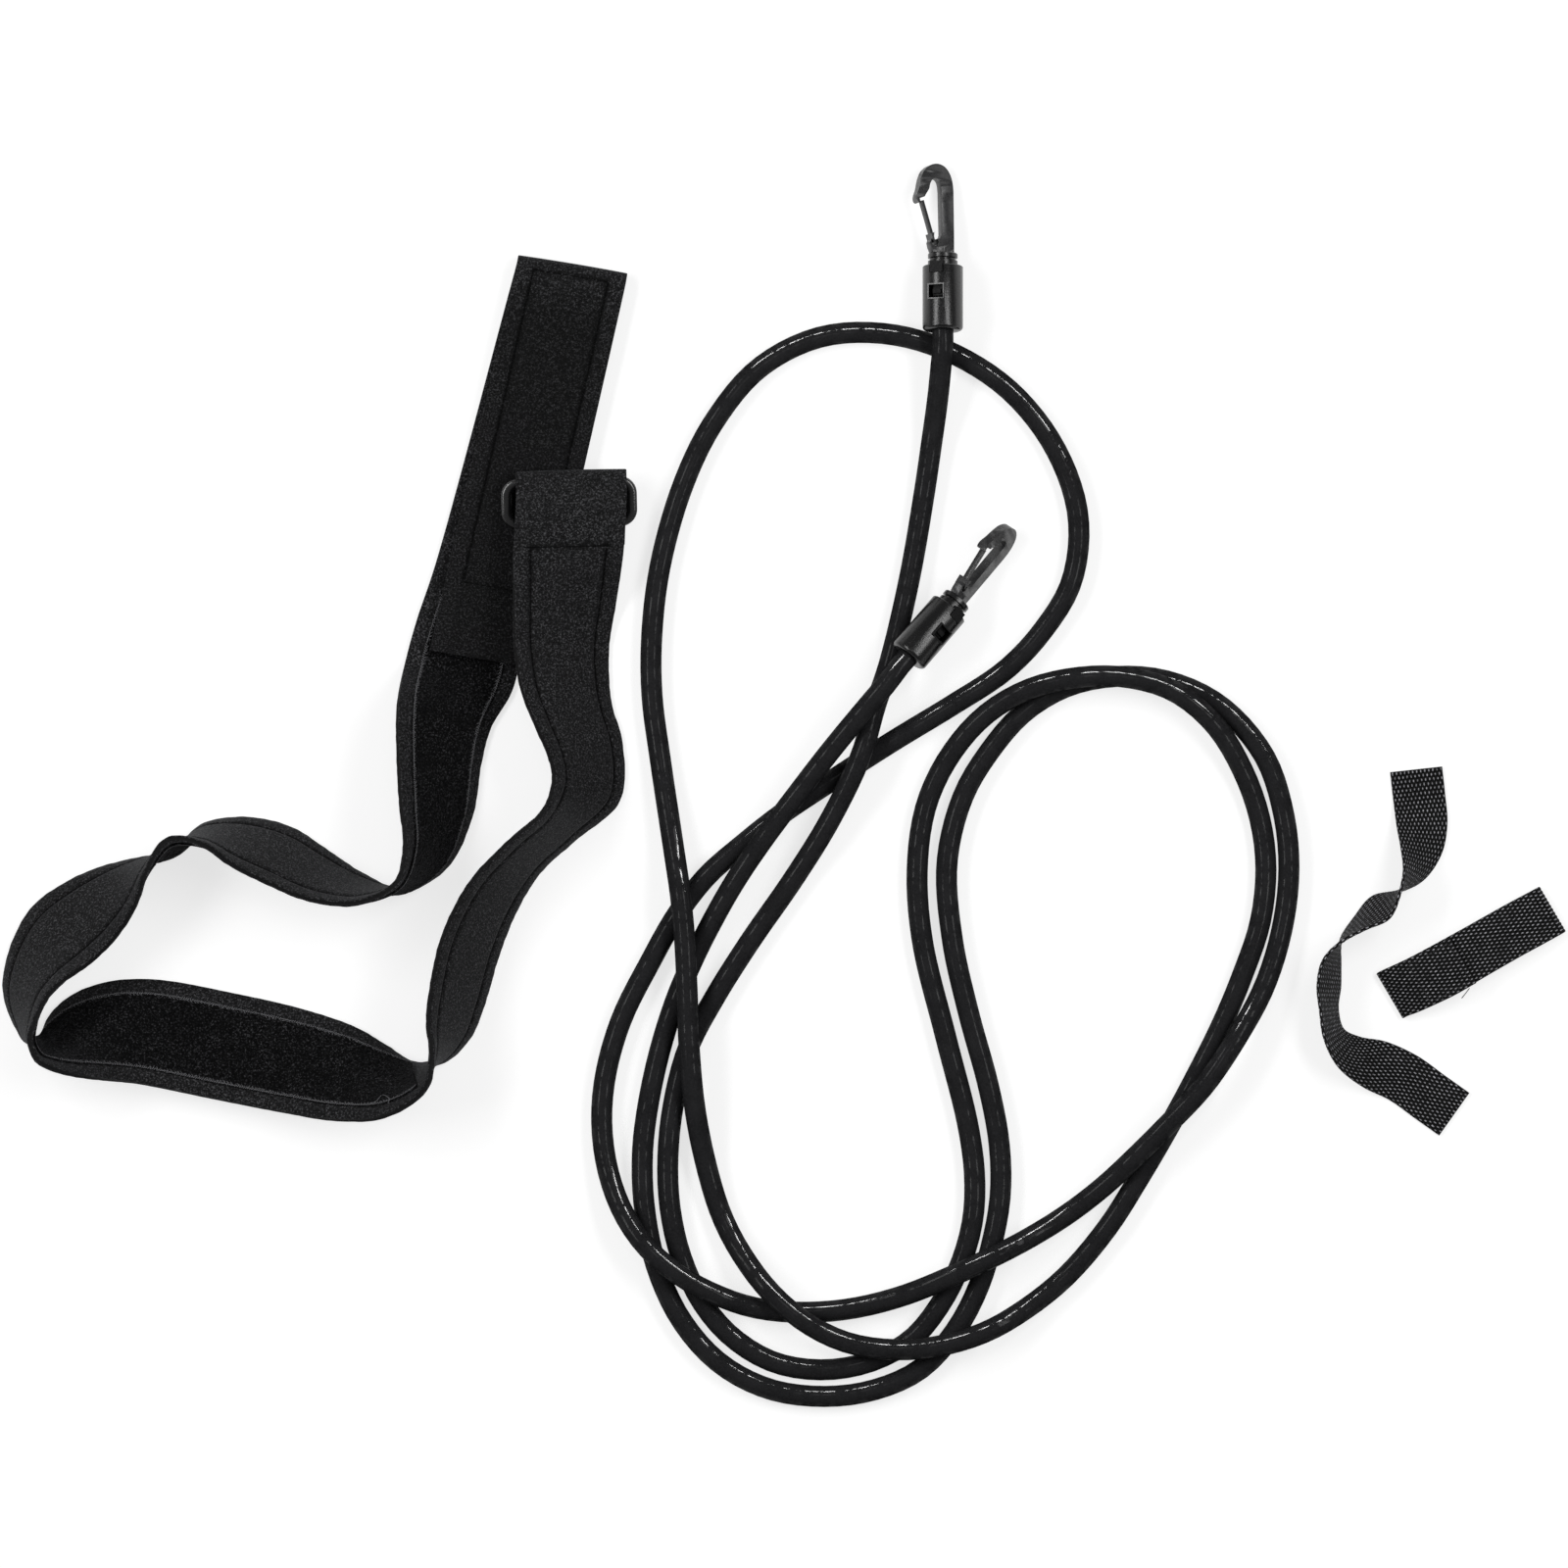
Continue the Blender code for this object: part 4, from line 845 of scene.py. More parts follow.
def bead_piece(name, groups, material, body):
    """One piece from several groups of beads."""
    vertices, faces, base = [], [], 0
    for points, shape in groups:
        vertices.append(points)
        faces += [tuple(index + base for index in face) for face in shape]
        base += len(points)
    dress(recalculate(make_mesh(name, np.concatenate(vertices), faces, material), ROUND_CREASE), body)


def flat_rows(rows, across_degrees, height, shares=None):
    return [(floor_place(pixels, height * share), direction(across_degrees))
            for pixels, share in zip(rows, shares or [1.0] * len(rows))]


def turn_rows(centre, across_degrees, outward, radius, first, last, steps):
    """Rows round a bend: the angle runs from up, 90, towards outward, 0, to down, -90."""
    rows = []
    for step in range(steps + 1):
        angle = math.radians(first + (last - first) * step / steps)
        offset = outward * math.cos(angle) * radius + Vector((0.0, 0.0, math.sin(angle) * radius))
        rows.append((centre + offset, direction(across_degrees)))
    return rows


def leaning_rows(table, width, thickness):
    """Rows that stand on one edge; each lean turns the strip about its own run."""
    places = [floor_place((row[0], row[1])) for row in table]
    rows = []
    for index, row in enumerate(table):
        run = (places[min(index + 1, len(table) - 1)] - places[max(index - 1, 0)]).normalized()
        lean = math.radians(row[2])
        across = Vector((run.y, -run.x, 0.0)) * math.cos(lean) + Vector((0.0, 0.0, math.sin(lean)))
        rise = width * math.sin(lean) / 2 + thickness * abs(math.cos(lean)) / 2
        rows.append((places[index] + Vector((0.0, 0.0, rise)), across))
    return rows


def strip_from(rows, width, thickness, steps):
    near = [centre - across * width / 2 for centre, across in rows]
    far = [centre + across * width / 2 for centre, across in rows]
    return Strip(smooth_points(near, steps), smooth_points(far, steps), width, thickness)


def belt_rows():
    rows = flat_rows(FLAP_ROWS, FLAP_ACROSS_DEGREES, FLAP_HEIGHT)
    lower = BELT_THICKNESS / 2
    fold = floor_place(FLAP_ROWS[-1], (FLAP_HEIGHT + lower) / 2)
    outward = direction(FLAP_ACROSS_DEGREES - 90.0)
    rows += turn_rows(fold, FLAP_ACROSS_DEGREES, outward, (FLAP_HEIGHT - lower) / 2, *FLAP_TURN)
    first = len(rows)
    rows += leaning_rows(LOOP_ROWS, BELT_WIDTH, BELT_THICKNESS)
    rows[-1][0].z += STRAP_END_LIFT
    strap = len(rows)
    rows += flat_rows(STRAP_END_ROWS, STRAP_END_ACROSS_DEGREES, STRAP_HEIGHT, STRAP_END_HEIGHT_SHARES)
    bar = floor_place((STRAP_END_ROWS[-1][0], RING_BAR_PIXELS[1]), RING_BAR_HEIGHT)
    outward = direction(STRAP_END_ACROSS_DEGREES - 90.0)
    rows += turn_rows(bar, STRAP_END_ACROSS_DEGREES, outward, RING_WIRE / 2 + GAP + lower, *STRAP_TURN)
    rows += flat_rows(STRAP_TAIL_ROWS, STRAP_END_ACROSS_DEGREES, STRAP_HEIGHT, STRAP_TAIL_HEIGHT_SHARES)
    return rows, first, strap


def wave(alongs, length, seed):
    """A slow, uneven ripple between -1 and 1."""
    random = np.random.default_rng(seed)
    total = np.zeros_like(alongs)
    for factor in RIPPLE_FACTORS:
        total += np.sin(2 * math.pi * (alongs * factor / length + random.random()))
    return total / len(RIPPLE_FACTORS)


def belt_profile():
    """Places across and heights round the belt, how deep each lies in a groove, and the faces of cut foam."""
    half = BELT_THICKNESS / 2
    pile_side = np.linspace(KNIT_EDGE, BELT_WIDTH - KNIT_EDGE, KNIT_COLUMNS)
    profile = [(place, half, 0.0) for place in pile_side]
    foam = []
    for inward, level in BELT_EDGE:
        if level == FOAM_LEVEL:
            foam.append(len(profile))
        profile.append((BELT_WIDTH - inward * KNIT_EDGE, level * half, 0.0))
    under = [(BELT_WIDTH - KNIT_EDGE, 0.0), (BELT_WIDTH - UNDER_MARGIN, 0.0)]
    under += [(FAR_SEAM - step * GROOVE_WIDTH, share) for step, share in GROOVE]
    under += [(place, 0.0) for place in np.linspace(FAR_SEAM, SEAM, UNDER_COLUMNS)[1:-1]]
    under += [(SEAM - step * GROOVE_WIDTH, share) for step, share in GROOVE]
    under += [(UNDER_MARGIN, 0.0), (KNIT_EDGE, 0.0)]
    profile += [(place, -half, share) for place, share in under]
    for inward, level in BELT_EDGE[::-1]:
        if level == -FOAM_LEVEL:
            foam.append(len(profile))
        profile.append((inward * KNIT_EDGE, level * half, 0.0))
    return (*np.array(profile).T, foam)


def faded(alongs, start, end):
    """1 between two places along the belt, falling to 0 at each."""
    return np.clip((alongs - start) / SEAM_INSET, 0, 1) * np.clip((end - alongs) / SEAM_INSET, 0, 1)


def build_band(belt, fold, loop, box, bar):
    """Two knit faces on foam, whose cut edge shows between them."""
    across, offsets, depths, foam = belt_profile()
    alongs = np.linspace(0.0, belt.length, int(belt.length / BAND_STEP))
    sewn = faded(alongs, *box) + faded(alongs, loop, bar)
    margin = np.clip(np.abs(across - BELT_WIDTH / 2) / (BELT_WIDTH / 2), 0, 1) ** 3
    ripple = wave(alongs, RIPPLE_LENGTH, RIPPLE_SEED)[:, None] * margin * RIPPLE
    jersey_side = offsets < 0
    crown = (1.0 - (2 * across / BELT_WIDTH - 1.0) ** 2) * CROWN * jersey_side
    profile = offsets + depths * sewn[:, None] * GROOVE_DEPTH - crown + ripple
    band = strip_solid("belt_band_knit", belt, alongs, across, profile, knit_material())
    # Painted shade along the seams' grooves and across the box and bar seams, on the jersey side; it is kept
    # as the sewn attribute
    lines = np.exp(-(np.minimum(np.abs(across - SEAM), np.abs(across - FAR_SEAM)) / SEAM_SHADE) ** 2)
    between = (across > SEAM - SEAM_SHADE) & (across < FAR_SEAM + SEAM_SHADE)
    cross_seam_shade = sum(np.exp(-((alongs - place) / (1.5 * SEAM_SHADE)) ** 2) for place in (*box, bar))
    dark = np.maximum(lines[None, :] * sewn[:, None], cross_seam_shade[:, None] * between[None, :]) * jersey_side
    # Painted shade over the flap, deeper between its seams; it is kept as the flap attribute
    flap_painted_shade = np.clip((fold - alongs) / FLAP_FADE, 0, 1)[:, None] * (0.7 + 0.3 * between[None, :])
    for label, values in (("sewn", dark), ("flap", flap_painted_shade)):
        layer = band.data.attributes.new(label, "FLOAT", "POINT")
        layer.data.foreach_set("value", values.astype(np.float32).ravel())
    band.data.materials.append(foam_material())
    index = np.zeros(len(band.data.polygons), dtype=np.int32)
    for column in foam:
        index[column:(len(alongs) - 1) * len(across):len(across)] = 1
    band.data.polygons.foreach_set("material_index", index)
    dress(band, "belt", "belt_band")


def build_tape(name, node, belt, alongs, upper, material):
    """A tape on the belt's pile side, with the heights of its open side."""
    across = np.concatenate((TAPE_ACROSS, TAPE_ACROSS[::-1]))
    lower = np.full(upper.shape, BELT_THICKNESS / 2 - SUNK)
    tape = strip_solid(name, belt, alongs, across, np.concatenate((upper, lower), axis=1), material)
    dress(tape, "belt", node)


def build_belt():
    rows, first, strap = belt_rows()
    belt = strip_from(rows, BELT_WIDTH, BELT_THICKNESS, BELT_STEPS)
    at = belt.places[::BELT_STEPS]
    fold, loop = at[2], at[first]
    box = (np.interp(FLAP_BOX_END_SHARE, [0, 1], [at[0], fold]), fold - SEAM_INSET)
    bar = np.interp(STRAP_BAR_SHARE, [0, 1], [at[strap], at[strap + 2]])
    half = BELT_THICKNESS / 2
    build_band(belt, fold, loop, box, bar)

    # The pile tape, fuzzy on its open side
    random = np.random.default_rng(PILE_SEED)
    start, end = at[first + PILE_TAPE_ROWS[0]], at[first + PILE_TAPE_ROWS[1]] - PILE_END_INSET
    alongs = np.linspace(start, end, int((end - start) / TAPE_STEP))
    tape_top = half + TAPE_GAP + TAPE_THICKNESS
    fuzz = random.normal(size=(len(alongs), len(TAPE_ACROSS))) * PILE_FUZZ
    inward = np.minimum(TAPE_ACROSS - TAPE_INSET, TAPE_INSET + TAPE_WIDTH - TAPE_ACROSS)
    sides = np.clip(inward / PILE_ROUND, 0.0, 1.0) ** 0.5
    upper = half + (tape_top - half) * (0.35 + 0.65 * sides) + fuzz * sides
    build_tape("belt_pile_loops", "belt_pile_tape", belt, alongs, upper,
               pile_material("pile_loops", *PILE_TONES))

    # The hook tape under the flap
    alongs = np.linspace(at[0], fold, int((fold - at[0]) / TAPE_STEP))
    ridge = np.abs(np.sin(math.pi * alongs[:, None] / HOOK_PITCH))
    ridge = ridge * np.abs(np.sin(math.pi * TAPE_ACROSS / HOOK_PITCH))
    upper = half + TAPE_GAP + TAPE_THICKNESS * (0.45 + 0.5 * ridge)
    build_tape("belt_hook_field", "belt_hook_tape", belt, alongs, upper,
               pile_material("hook_field", *HOOK_TAPE_TONES))

    # Bright selvedge threads along both edges of the pile
    lines, inner = [[belt.line(start, end, side, tape_top - sunk)
                     for side in (TAPE_INSET + inset, TAPE_INSET + TAPE_WIDTH - inset)]
                    for inset, sunk in ((OUTER_THREAD_INSET, SUNK), (INNER_THREAD_INSET, SUNK / 2))]
    groups = [beads(lines, *EDGE_STITCH, turn=0.75, jitter=0.35, seed=3),
              beads(inner, *INNER_STITCH, turn=-0.5, jitter=0.5, seed=5),
              beads([belt.over(LOOSE_LOOP_PIXELS, tape_top)], *LOOSE_STITCH)]
    thread = thread_material("selvedge_thread", *SELVEDGE_THREAD)
    bead_piece("belt_selvedge", groups, thread, "belt")

    # The seams that hold the tapes, the flap's box and the strap's bar
    sunk = -(half + CROWN * 0.55 - GROOVE_DEPTH * 0.75)
    level = -(half + CROWN * 0.6)
    seams = []
    for side in (SEAM, FAR_SEAM):
        seams.append(belt.line(*box, side, sunk))
        seams.append(belt.line(loop + LOOP_SEAM_INSET, bar, side, sunk))
    seams += [belt.crossing(place, SEAM, FAR_SEAM, level) for place in box]
    across_bar = belt.crossing(bar, SEAM - TACK, FAR_SEAM + TACK * 1.5, level)
    tack = belt.crossing(bar + TACK_RISE, SEAM - TACK, SEAM + TACK, level)
    groups = [beads(seams, *SEAM_STITCH, jitter=0.06, seed=11),
              beads([across_bar], *BAR_STITCH, turn=0.2, jitter=0.15, seed=12),
              beads([tack], *TACK_STITCH, turn=1.3, jitter=0.2, seed=13)]
    bead_piece("belt_stitching", groups, thread_material("seam_thread", *SEAM_THREAD), "belt")


def webbing_piece(name, node, strip, material):
    """Webbing with every float of its weave standing up on both faces."""
    alongs = np.linspace(0.0, strip.length, int(strip.length / WEAVE_ALONG * WEAVE_SAMPLES))
    count = int(strip.width / WEAVE_ACROSS * WEAVE_SAMPLES)
    top = np.linspace(WEBBING_EDGE, strip.width - WEBBING_EDGE, count)
    row = np.floor(alongs / WEAVE_ALONG)[:, None]
    edge = np.minimum(top, strip.width - top)

    def floats(shift):
        first = np.abs(np.sin(math.pi * (top / WEAVE_ACROSS + 0.5 * ((row + shift) % 2))))
        second = np.abs(np.sin(math.pi * alongs / WEAVE_ALONG))[:, None]
        relief = (first * second) ** 0.7
        plain = 0.45 + 0.35 * np.abs(np.sin(2 * math.pi * alongs / WEAVE_ALONG))[:, None]
        return np.where(edge > SELVEDGE, relief, plain) * WEAVE_RELIEF

    base = strip.thickness / 2 - WEAVE_RELIEF
    sides = np.clip(edge / WEBBING_ROUND, 0.3, 1.0)
    upper = (base + floats(0)) * sides
    lower = -(base + floats(1)) * sides
    across = np.concatenate((top, top[::-1]))
    offsets = np.concatenate((upper, lower[:, ::-1]), axis=1)
    shift = np.repeat((0.0, WEAVE_ACROSS / 2), count)
    piece = strip_solid(name, strip, alongs, across, offsets, material, shift)
    dress(piece, BODY_OF[node], node)


def build_anchors():
    webbing = webbing_material()
    size = (WEBBING_WIDTH, WEBBING_THICKNESS)
    webbing_piece("anchor_strap_woven", "anchor_strap",
                  strip_from(leaning_rows(STRIP_ROWS, *size), *size, STRIP_STEPS), webbing)
    rows = flat_rows(LOOP_START_ROWS, LOOP_ACROSS_DEGREES, LOOP_HEIGHT, LOOP_START_HEIGHT_SHARES)
    turns = ((LOOP_LEFT_TURN, 90, LOOP_LOWER_ROWS, LOOP_LOWER_HEIGHT_SHARES),
             (LOOP_RIGHT_TURN, -90, LOOP_END_ROWS, LOOP_END_HEIGHT_SHARES))
    for place, side, table, shares in turns:
        centre = floor_place(place, WEBBING_THICKNESS / 2 + LOOP_TURN_RADIUS)
        outward = direction(LOOP_ACROSS_DEGREES + side)
        turn = (side, -side, LOOP_TURN_STEPS)
        rows += turn_rows(centre, LOOP_ACROSS_DEGREES, outward, LOOP_TURN_RADIUS, *turn)
        rows += flat_rows(table, LOOP_ACROSS_DEGREES, LOOP_HEIGHT, shares)
    loop = strip_from(rows, *size, LOOP_STEPS)
    webbing_piece("anchor_loop_woven", "anchor_loop", loop, webbing)

    # The stitched box that closes the loop, and the thread's loose end
    start, end = LOOP_SEWN
    inset = SELVEDGE * 2
    top = WEBBING_THICKNESS / 2
    if loop.surface(np.array([start, end]), [0.5])[1][0, 0, 2] < 0:
        top = -top
    seams = [loop.crossing(along, inset, WEBBING_WIDTH - inset, top) for along in (start, end)]
    seams += [loop.line(start, end, across, top) for across in (inset, WEBBING_WIDTH - inset)]
    groups = [beads(seams, *BOX_STITCH, turn=0.3, jitter=0.4, seed=21),
              beads([loop.over(LOOSE_END_PIXELS, WEBBING_THICKNESS / 2)], *LOOSE_STITCH)]
    thread = thread_material("loop_thread", *LOOP_THREAD)
    bead_piece("anchor_loop_stitching", groups, thread, BODY_OF["anchor_loop"])


def tube_line(frames):
    """The tube's centre line, from inside one barrel to inside the other."""
    ends = []
    for frame in frames:
        ends.append([frame @ Vector((0.0, along, 0.0)) for along in (TUBE_INSERT, 0.0, -TUBE_DIAMETER)])
    middle = [Vector((*place, TUBE_REST)[:3]) * MILLIMETRE for place in TUBE_ROUTE]
    curve = np.array(smooth_points(ends[0] + middle + ends[1][::-1], ROUTE_STEPS))
    curve[:, 2] = np.maximum(curve[:, 2], TUBE_DIAMETER / 2)
    places = run_lengths(curve)
    return resample(curve, places, np.linspace(0.0, places[-1], int(places[-1] / TUBE_SPACING)))


def build_tube(frames):
    points = tube_line(frames)
    curve = add_curve("tether_tube_rubber", "3D", points)
    curve.bevel_depth = TUBE_DIAMETER / 2
    curve.bevel_resolution = 7
    curve.use_fill_caps = True
    curve.materials.append(rubber_material())
    tube = add_object("tether_tube_rubber", curve)
    add_glint_lamp(tube)
    dress(tube, "tether", "tether_tube")


def rounded_rectangle(half_x, half_y, radius, steps):
    points = []
    for side_x, side_y, start in ((1, 1, 0), (-1, 1, 90), (-1, -1, 180), (1, -1, 270)):
        centre = Vector((side_x * (half_x - radius), side_y * (half_y - radius), 0.0))
        for step in range(steps + 1):
            points.append(centre + direction(start + 90.0 * step / steps) * radius)
    return points


def build_ring():
    half_x = (RING_LENGTH - RING_WIRE) / 2
    half_y = (RING_HEIGHT - RING_WIRE) / 2
    corners = rounded_rectangle(half_x, half_y, RING_CORNER, RING_CORNER_STEPS)
    line = np.array([point - Vector((0.0, half_y, 0.0)) for point in corners])
    vertices = []
    for index, place in enumerate(line):
        run = line[(index + 1) % len(line)] - line[index - 1]
        run /= np.linalg.norm(run)
        outward = np.cross(run, (0.0, 0.0, 1.0))
        for side in range(RING_SIDES):
            angle = 2 * math.pi * side / RING_SIDES
            first, second = math.cos(angle), math.sin(angle)
            power = RING_SQUARENESS
            squared = (abs(first) ** power + abs(second) ** power) ** (-1 / power)
            inward = RING_FLAT * max(0.0, -first) * abs(outward[0])
            vertices.append(place + (outward * first + np.array((0.0, 0.0, second))) * squared * RING_WIRE / 2
                            - outward * inward)
    ring = make_mesh("belt_ring_moulded", vertices, grid_faces(len(line), RING_SIDES, ring=True),
                     plastic_material("ring_plastic", *RING_LOOK))
    recalculate(ring, ROUND_CREASE)
    turn = STRAP_END_ACROSS_DEGREES - 180.0
    ring.data.transform(Matrix.Translation(floor_place(RING_BAR_PIXELS, RING_BAR_HEIGHT))
                        @ Matrix.Rotation(math.radians(turn), 4, "Z")
                        @ Matrix.Rotation(math.radians(RING_DROP_DEGREES), 4, "X"))
    dress(ring, "ring", "belt_ring")


def turned(name, profile):
    """A closed profile of (radius, forward) turned about the local +Y axis."""
    vertices = []
    for side in range(TURNED_SIDES):
        angle = 2 * math.pi * side / TURNED_SIDES
        across, up = math.cos(angle), math.sin(angle)
        vertices += [(radius * across, forward, radius * up) for radius, forward in profile]
    item = make_mesh(name, vertices, grid_faces(TURNED_SIDES, len(profile), ring=True), SCRATCH)
    mend(item.data, merge=True, dissolve=True, outward=True)
    return item


def from_bmesh(name, work):
    mesh = bpy.data.meshes.new(name)
    work.to_mesh(mesh)
    work.free()
    mesh.materials.append(SCRATCH)
    return add_object(name, mesh)


def block(name, size, centre, turn_degrees=0.0):
    work = bmesh.new()
    bmesh.ops.create_cube(work, size=1.0)
    bmesh.ops.transform(work, verts=work.verts, matrix=Matrix.Translation(centre)
                        @ Matrix.Rotation(math.radians(turn_degrees), 4, "Z") @ Matrix.Diagonal((*size, 1.0)))
    return from_bmesh(name, work)


def rod(name, radius, length, centre, axis):
    work = bmesh.new()
    bmesh.ops.create_cone(work, cap_ends=True, segments=ROD_SIDES, radius1=radius, radius2=radius,
                          depth=length)
    if axis == "Y":
        bmesh.ops.rotate(work, verts=work.verts, matrix=Matrix.Rotation(math.radians(90.0), 3, "X"))
    bmesh.ops.translate(work, verts=work.verts, vec=centre)
    return from_bmesh(name, work)


def made_mesh(item):
    """A new mesh of what the item's curve or modifiers make."""
    return bpy.data.meshes.new_from_object(item.evaluated_get(bpy.context.evaluated_depsgraph_get()))


def bake(item):
    """Puts what the modifiers make into the mesh."""
    mesh = made_mesh(item)
    item.modifiers.clear()
    item.data = mesh


def combine(item, others, operation):
    for other in others:
        step = item.modifiers.new(operation, "BOOLEAN")
        step.operation = operation
        step.solver = "EXACT"
        step.object = other
        bake(item)
        bpy.data.objects.remove(other)


def bevel(item, width, segments, degrees):
    """Rounds the edges that turn by more than the angle."""
    step = item.modifiers.new("bevel", "BEVEL")
    step.width = width
    step.segments = segments
    step.limit_method = "ANGLE"
    step.angle_limit = math.radians(degrees)
    bake(item)


def shade(item, degrees):
    """Shades the faces smoothly, except over edges sharper than the angle."""
    item.data.polygons.foreach_set("use_smooth", [True] * len(item.data.polygons))
    item.data.set_sharp_from_angle(angle=math.radians(degrees))


def soften(item, width, segments=2):
    """Small rounds on the edges, as a mould leaves them."""
    bevel(item, width, segments, SOFT_DEGREES)
    mend(item.data, merge=True, dissolve=True)
    shade(item, MOULD_CREASE)


def finish_piece(item, node, body, material, frame):
    item.data.materials.clear()
    item.data.materials.append(material)
    item.data.polygons.foreach_set("material_index", [0] * len(item.data.polygons))
    item.data.transform(frame)
    dress(item, body, node)


def make_barrel(name):
    bore = TUBE_DIAMETER / 2 + GAP / 2
    profile = [(bore, 0.0)]
    for step in range(BARREL_EDGE_STEPS + 1):
        angle = math.radians(90.0 * step / BARREL_EDGE_STEPS)
        profile.append((BARREL_RADIUS - BARREL_EDGE * (1.0 - math.sin(angle)),
                        BARREL_EDGE * (1.0 - math.cos(angle))))
    profile += [(BARREL_RADIUS, BARREL_LENGTH - CHAMFER), (BARREL_RADIUS - CHAMFER, BARREL_LENGTH),
                (BARREL_CAVITY_RADIUS, BARREL_LENGTH), (BARREL_CAVITY_RADIUS, BARREL_REAR_WALL),
                (bore, BARREL_REAR_WALL)]
    barrel = turned(name, profile)
    middle = WINDOW_START + WINDOW_LENGTH / 2
    rim = block(name + "_rim", (WINDOW_WIDTH + 2 * RIM_WIDTH, WINDOW_LENGTH + 2 * RIM_WIDTH, RIM_HEIGHT),
                (0.0, middle, BARREL_RADIUS - RIM_SUNK))
    combine(barrel, [rim], "UNION")
    window = block(name + "_window", (WINDOW_WIDTH, WINDOW_LENGTH, BARREL_RADIUS),
                   (0.0, middle, BARREL_RADIUS))
    length = NOTCH_LENGTH + OVERRUN
    notch = block(name + "_notch", (NOTCH_WIDTH, length, BARREL_RADIUS),
                  (0.0, BARREL_LENGTH - NOTCH_LENGTH + length / 2, BARREL_RADIUS))
    combine(barrel, [window, notch], "DIFFERENCE")
    soften(barrel, BARREL_ROUND)
    return barrel


def make_seat(name):
    bore = STEM_RADIUS + GAP
    cup = STEM_HEAD_RADIUS + GAP
    mid = (COLLAR_START + COLLAR_END) / 2
    waist = COLLAR_RADIUS - WAIST_DEPTH
    profile = [(bore, COLLAR_END), (COLLAR_RADIUS - CHAMFER, COLLAR_END),
               (COLLAR_RADIUS, COLLAR_END - CHAMFER), (COLLAR_RADIUS, mid + WAIST_TOP),
               (waist, mid + WAIST_FLOOR), (waist, mid - WAIST_FLOOR),
               (COLLAR_RADIUS, mid - WAIST_TOP), (COLLAR_RADIUS, COLLAR_START), (INSERT_RADIUS, COLLAR_START),
               (INSERT_RADIUS, SEAT_START), (cup, SEAT_START), (cup, WEB_START), (bore, WEB_START)]
    seat = turned(name, profile)
    key_length = NOTCH_LENGTH - GAP + COLLAR_LENGTH / 4
    key_top = BARREL_RADIUS - GAP
    key_bottom = cup + GAP
    key = block(name + "_key", (KEY_WIDTH, key_length, key_top - key_bottom),
                (0.0, BARREL_LENGTH - NOTCH_LENGTH + GAP + key_length / 2, (key_top + key_bottom) / 2))
    finger_start = WINDOW_START + GAP + FINGER_NUB_LENGTH / 2
    finger_end = SEAT_START + OVERRUN
    nub_bottom = FINGER_TOP - FINGER_THICKNESS / 2
    finger = block(name + "_finger", (FINGER_WIDTH, finger_end - finger_start, FINGER_THICKNESS),
                   (0.0, (finger_end + finger_start) / 2, nub_bottom))
    nub_height = FINGER_NUB + FINGER_THICKNESS / 2
    nub = block(name + "_nub", (FINGER_WIDTH - FINGER_THICKNESS, FINGER_NUB_LENGTH, nub_height),
                (0.0, finger_start + FINGER_NUB_LENGTH, nub_bottom + nub_height / 2))
    combine(seat, [key, finger, nub], "UNION")
    soften(seat, SEAT_ROUND)
    return seat


def share_points(table):
    return [Vector((across * HOOK_WIDTH, HOOK_START + along * HOOK_LENGTH, 0.0)) for across, along in table]


def make_hook(name):
    outline = smooth_points(share_points(HOOK_OUTER_SHARES), HOOK_STEPS) + share_points(HOOK_LIP_SHARES)
    outline += smooth_points(share_points(HOOK_INNER_SHARES), HOOK_STEPS) + share_points(HOOK_BASE_SHARES)
    curve = add_curve(name, "2D", outline, cyclic=True)
    curve.fill_mode = "BOTH"
    curve.extrude = HOOK_THICKNESS / 2
    shape = add_object(name + "_outline", curve)
    hook = add_object(name, made_mesh(shape))
    bpy.data.objects.remove(shape)
    mend(hook.data, merge=True, outward=True)
    hook.data.materials.append(SCRATCH)
    bevel(hook, HOOK_EDGE, 3, 60.0)
    stem_start = HEAD_END - STEM_HEAD_LENGTH / 2
    stem_end = HOOK_START + HOOK_THICKNESS / 2
    stem = rod(name + "_stem", STEM_RADIUS, stem_end - stem_start,
               (0.0, (stem_start + stem_end) / 2, 0.0), "Y")
    head = rod(name + "_head", STEM_HEAD_RADIUS, STEM_HEAD_LENGTH, (0.0, stem_start, 0.0), "Y")
    combine(hook, [stem, head], "UNION")
    pivot = share_points([GATE_PIVOT_SHARES])[0]
    depth = HOOK_THICKNESS + 2 * OVERRUN
    cuts = [rod(name + "_socket", KNUCKLE_RADIUS + GAP, depth, pivot, "Z")]
    slot_length = 3 * KNUCKLE_RADIUS
    for lean in (GATE_LEAN_DEGREES, GATE_LEAN_DEGREES - GATE_OPEN_DEGREES):
        cuts.append(block(name + "_slot", (GATE_THICKNESS + 2 * GAP, slot_length, depth),
                          pivot + direction(90.0 + lean) * slot_length / 2, lean))
    combine(hook, cuts, "DIFFERENCE")
    shade(hook, HOOK_CREASE)
    return hook


def make_gate(name):
    along = direction(90.0 + GATE_LEAN_DEGREES)
    gate = block(name, (GATE_THICKNESS, GATE_LENGTH, GATE_DEPTH), along * GATE_LENGTH / 2, GATE_LEAN_DEGREES)
    combine(gate, [rod(name + "_knuckle", KNUCKLE_RADIUS, GATE_DEPTH, Vector(), "Z")], "UNION")
    soften(gate, GATE_ROUND, 3)
    gate.data.transform(Matrix.Translation(share_points([GATE_PIVOT_SHARES])[0]))
    return gate


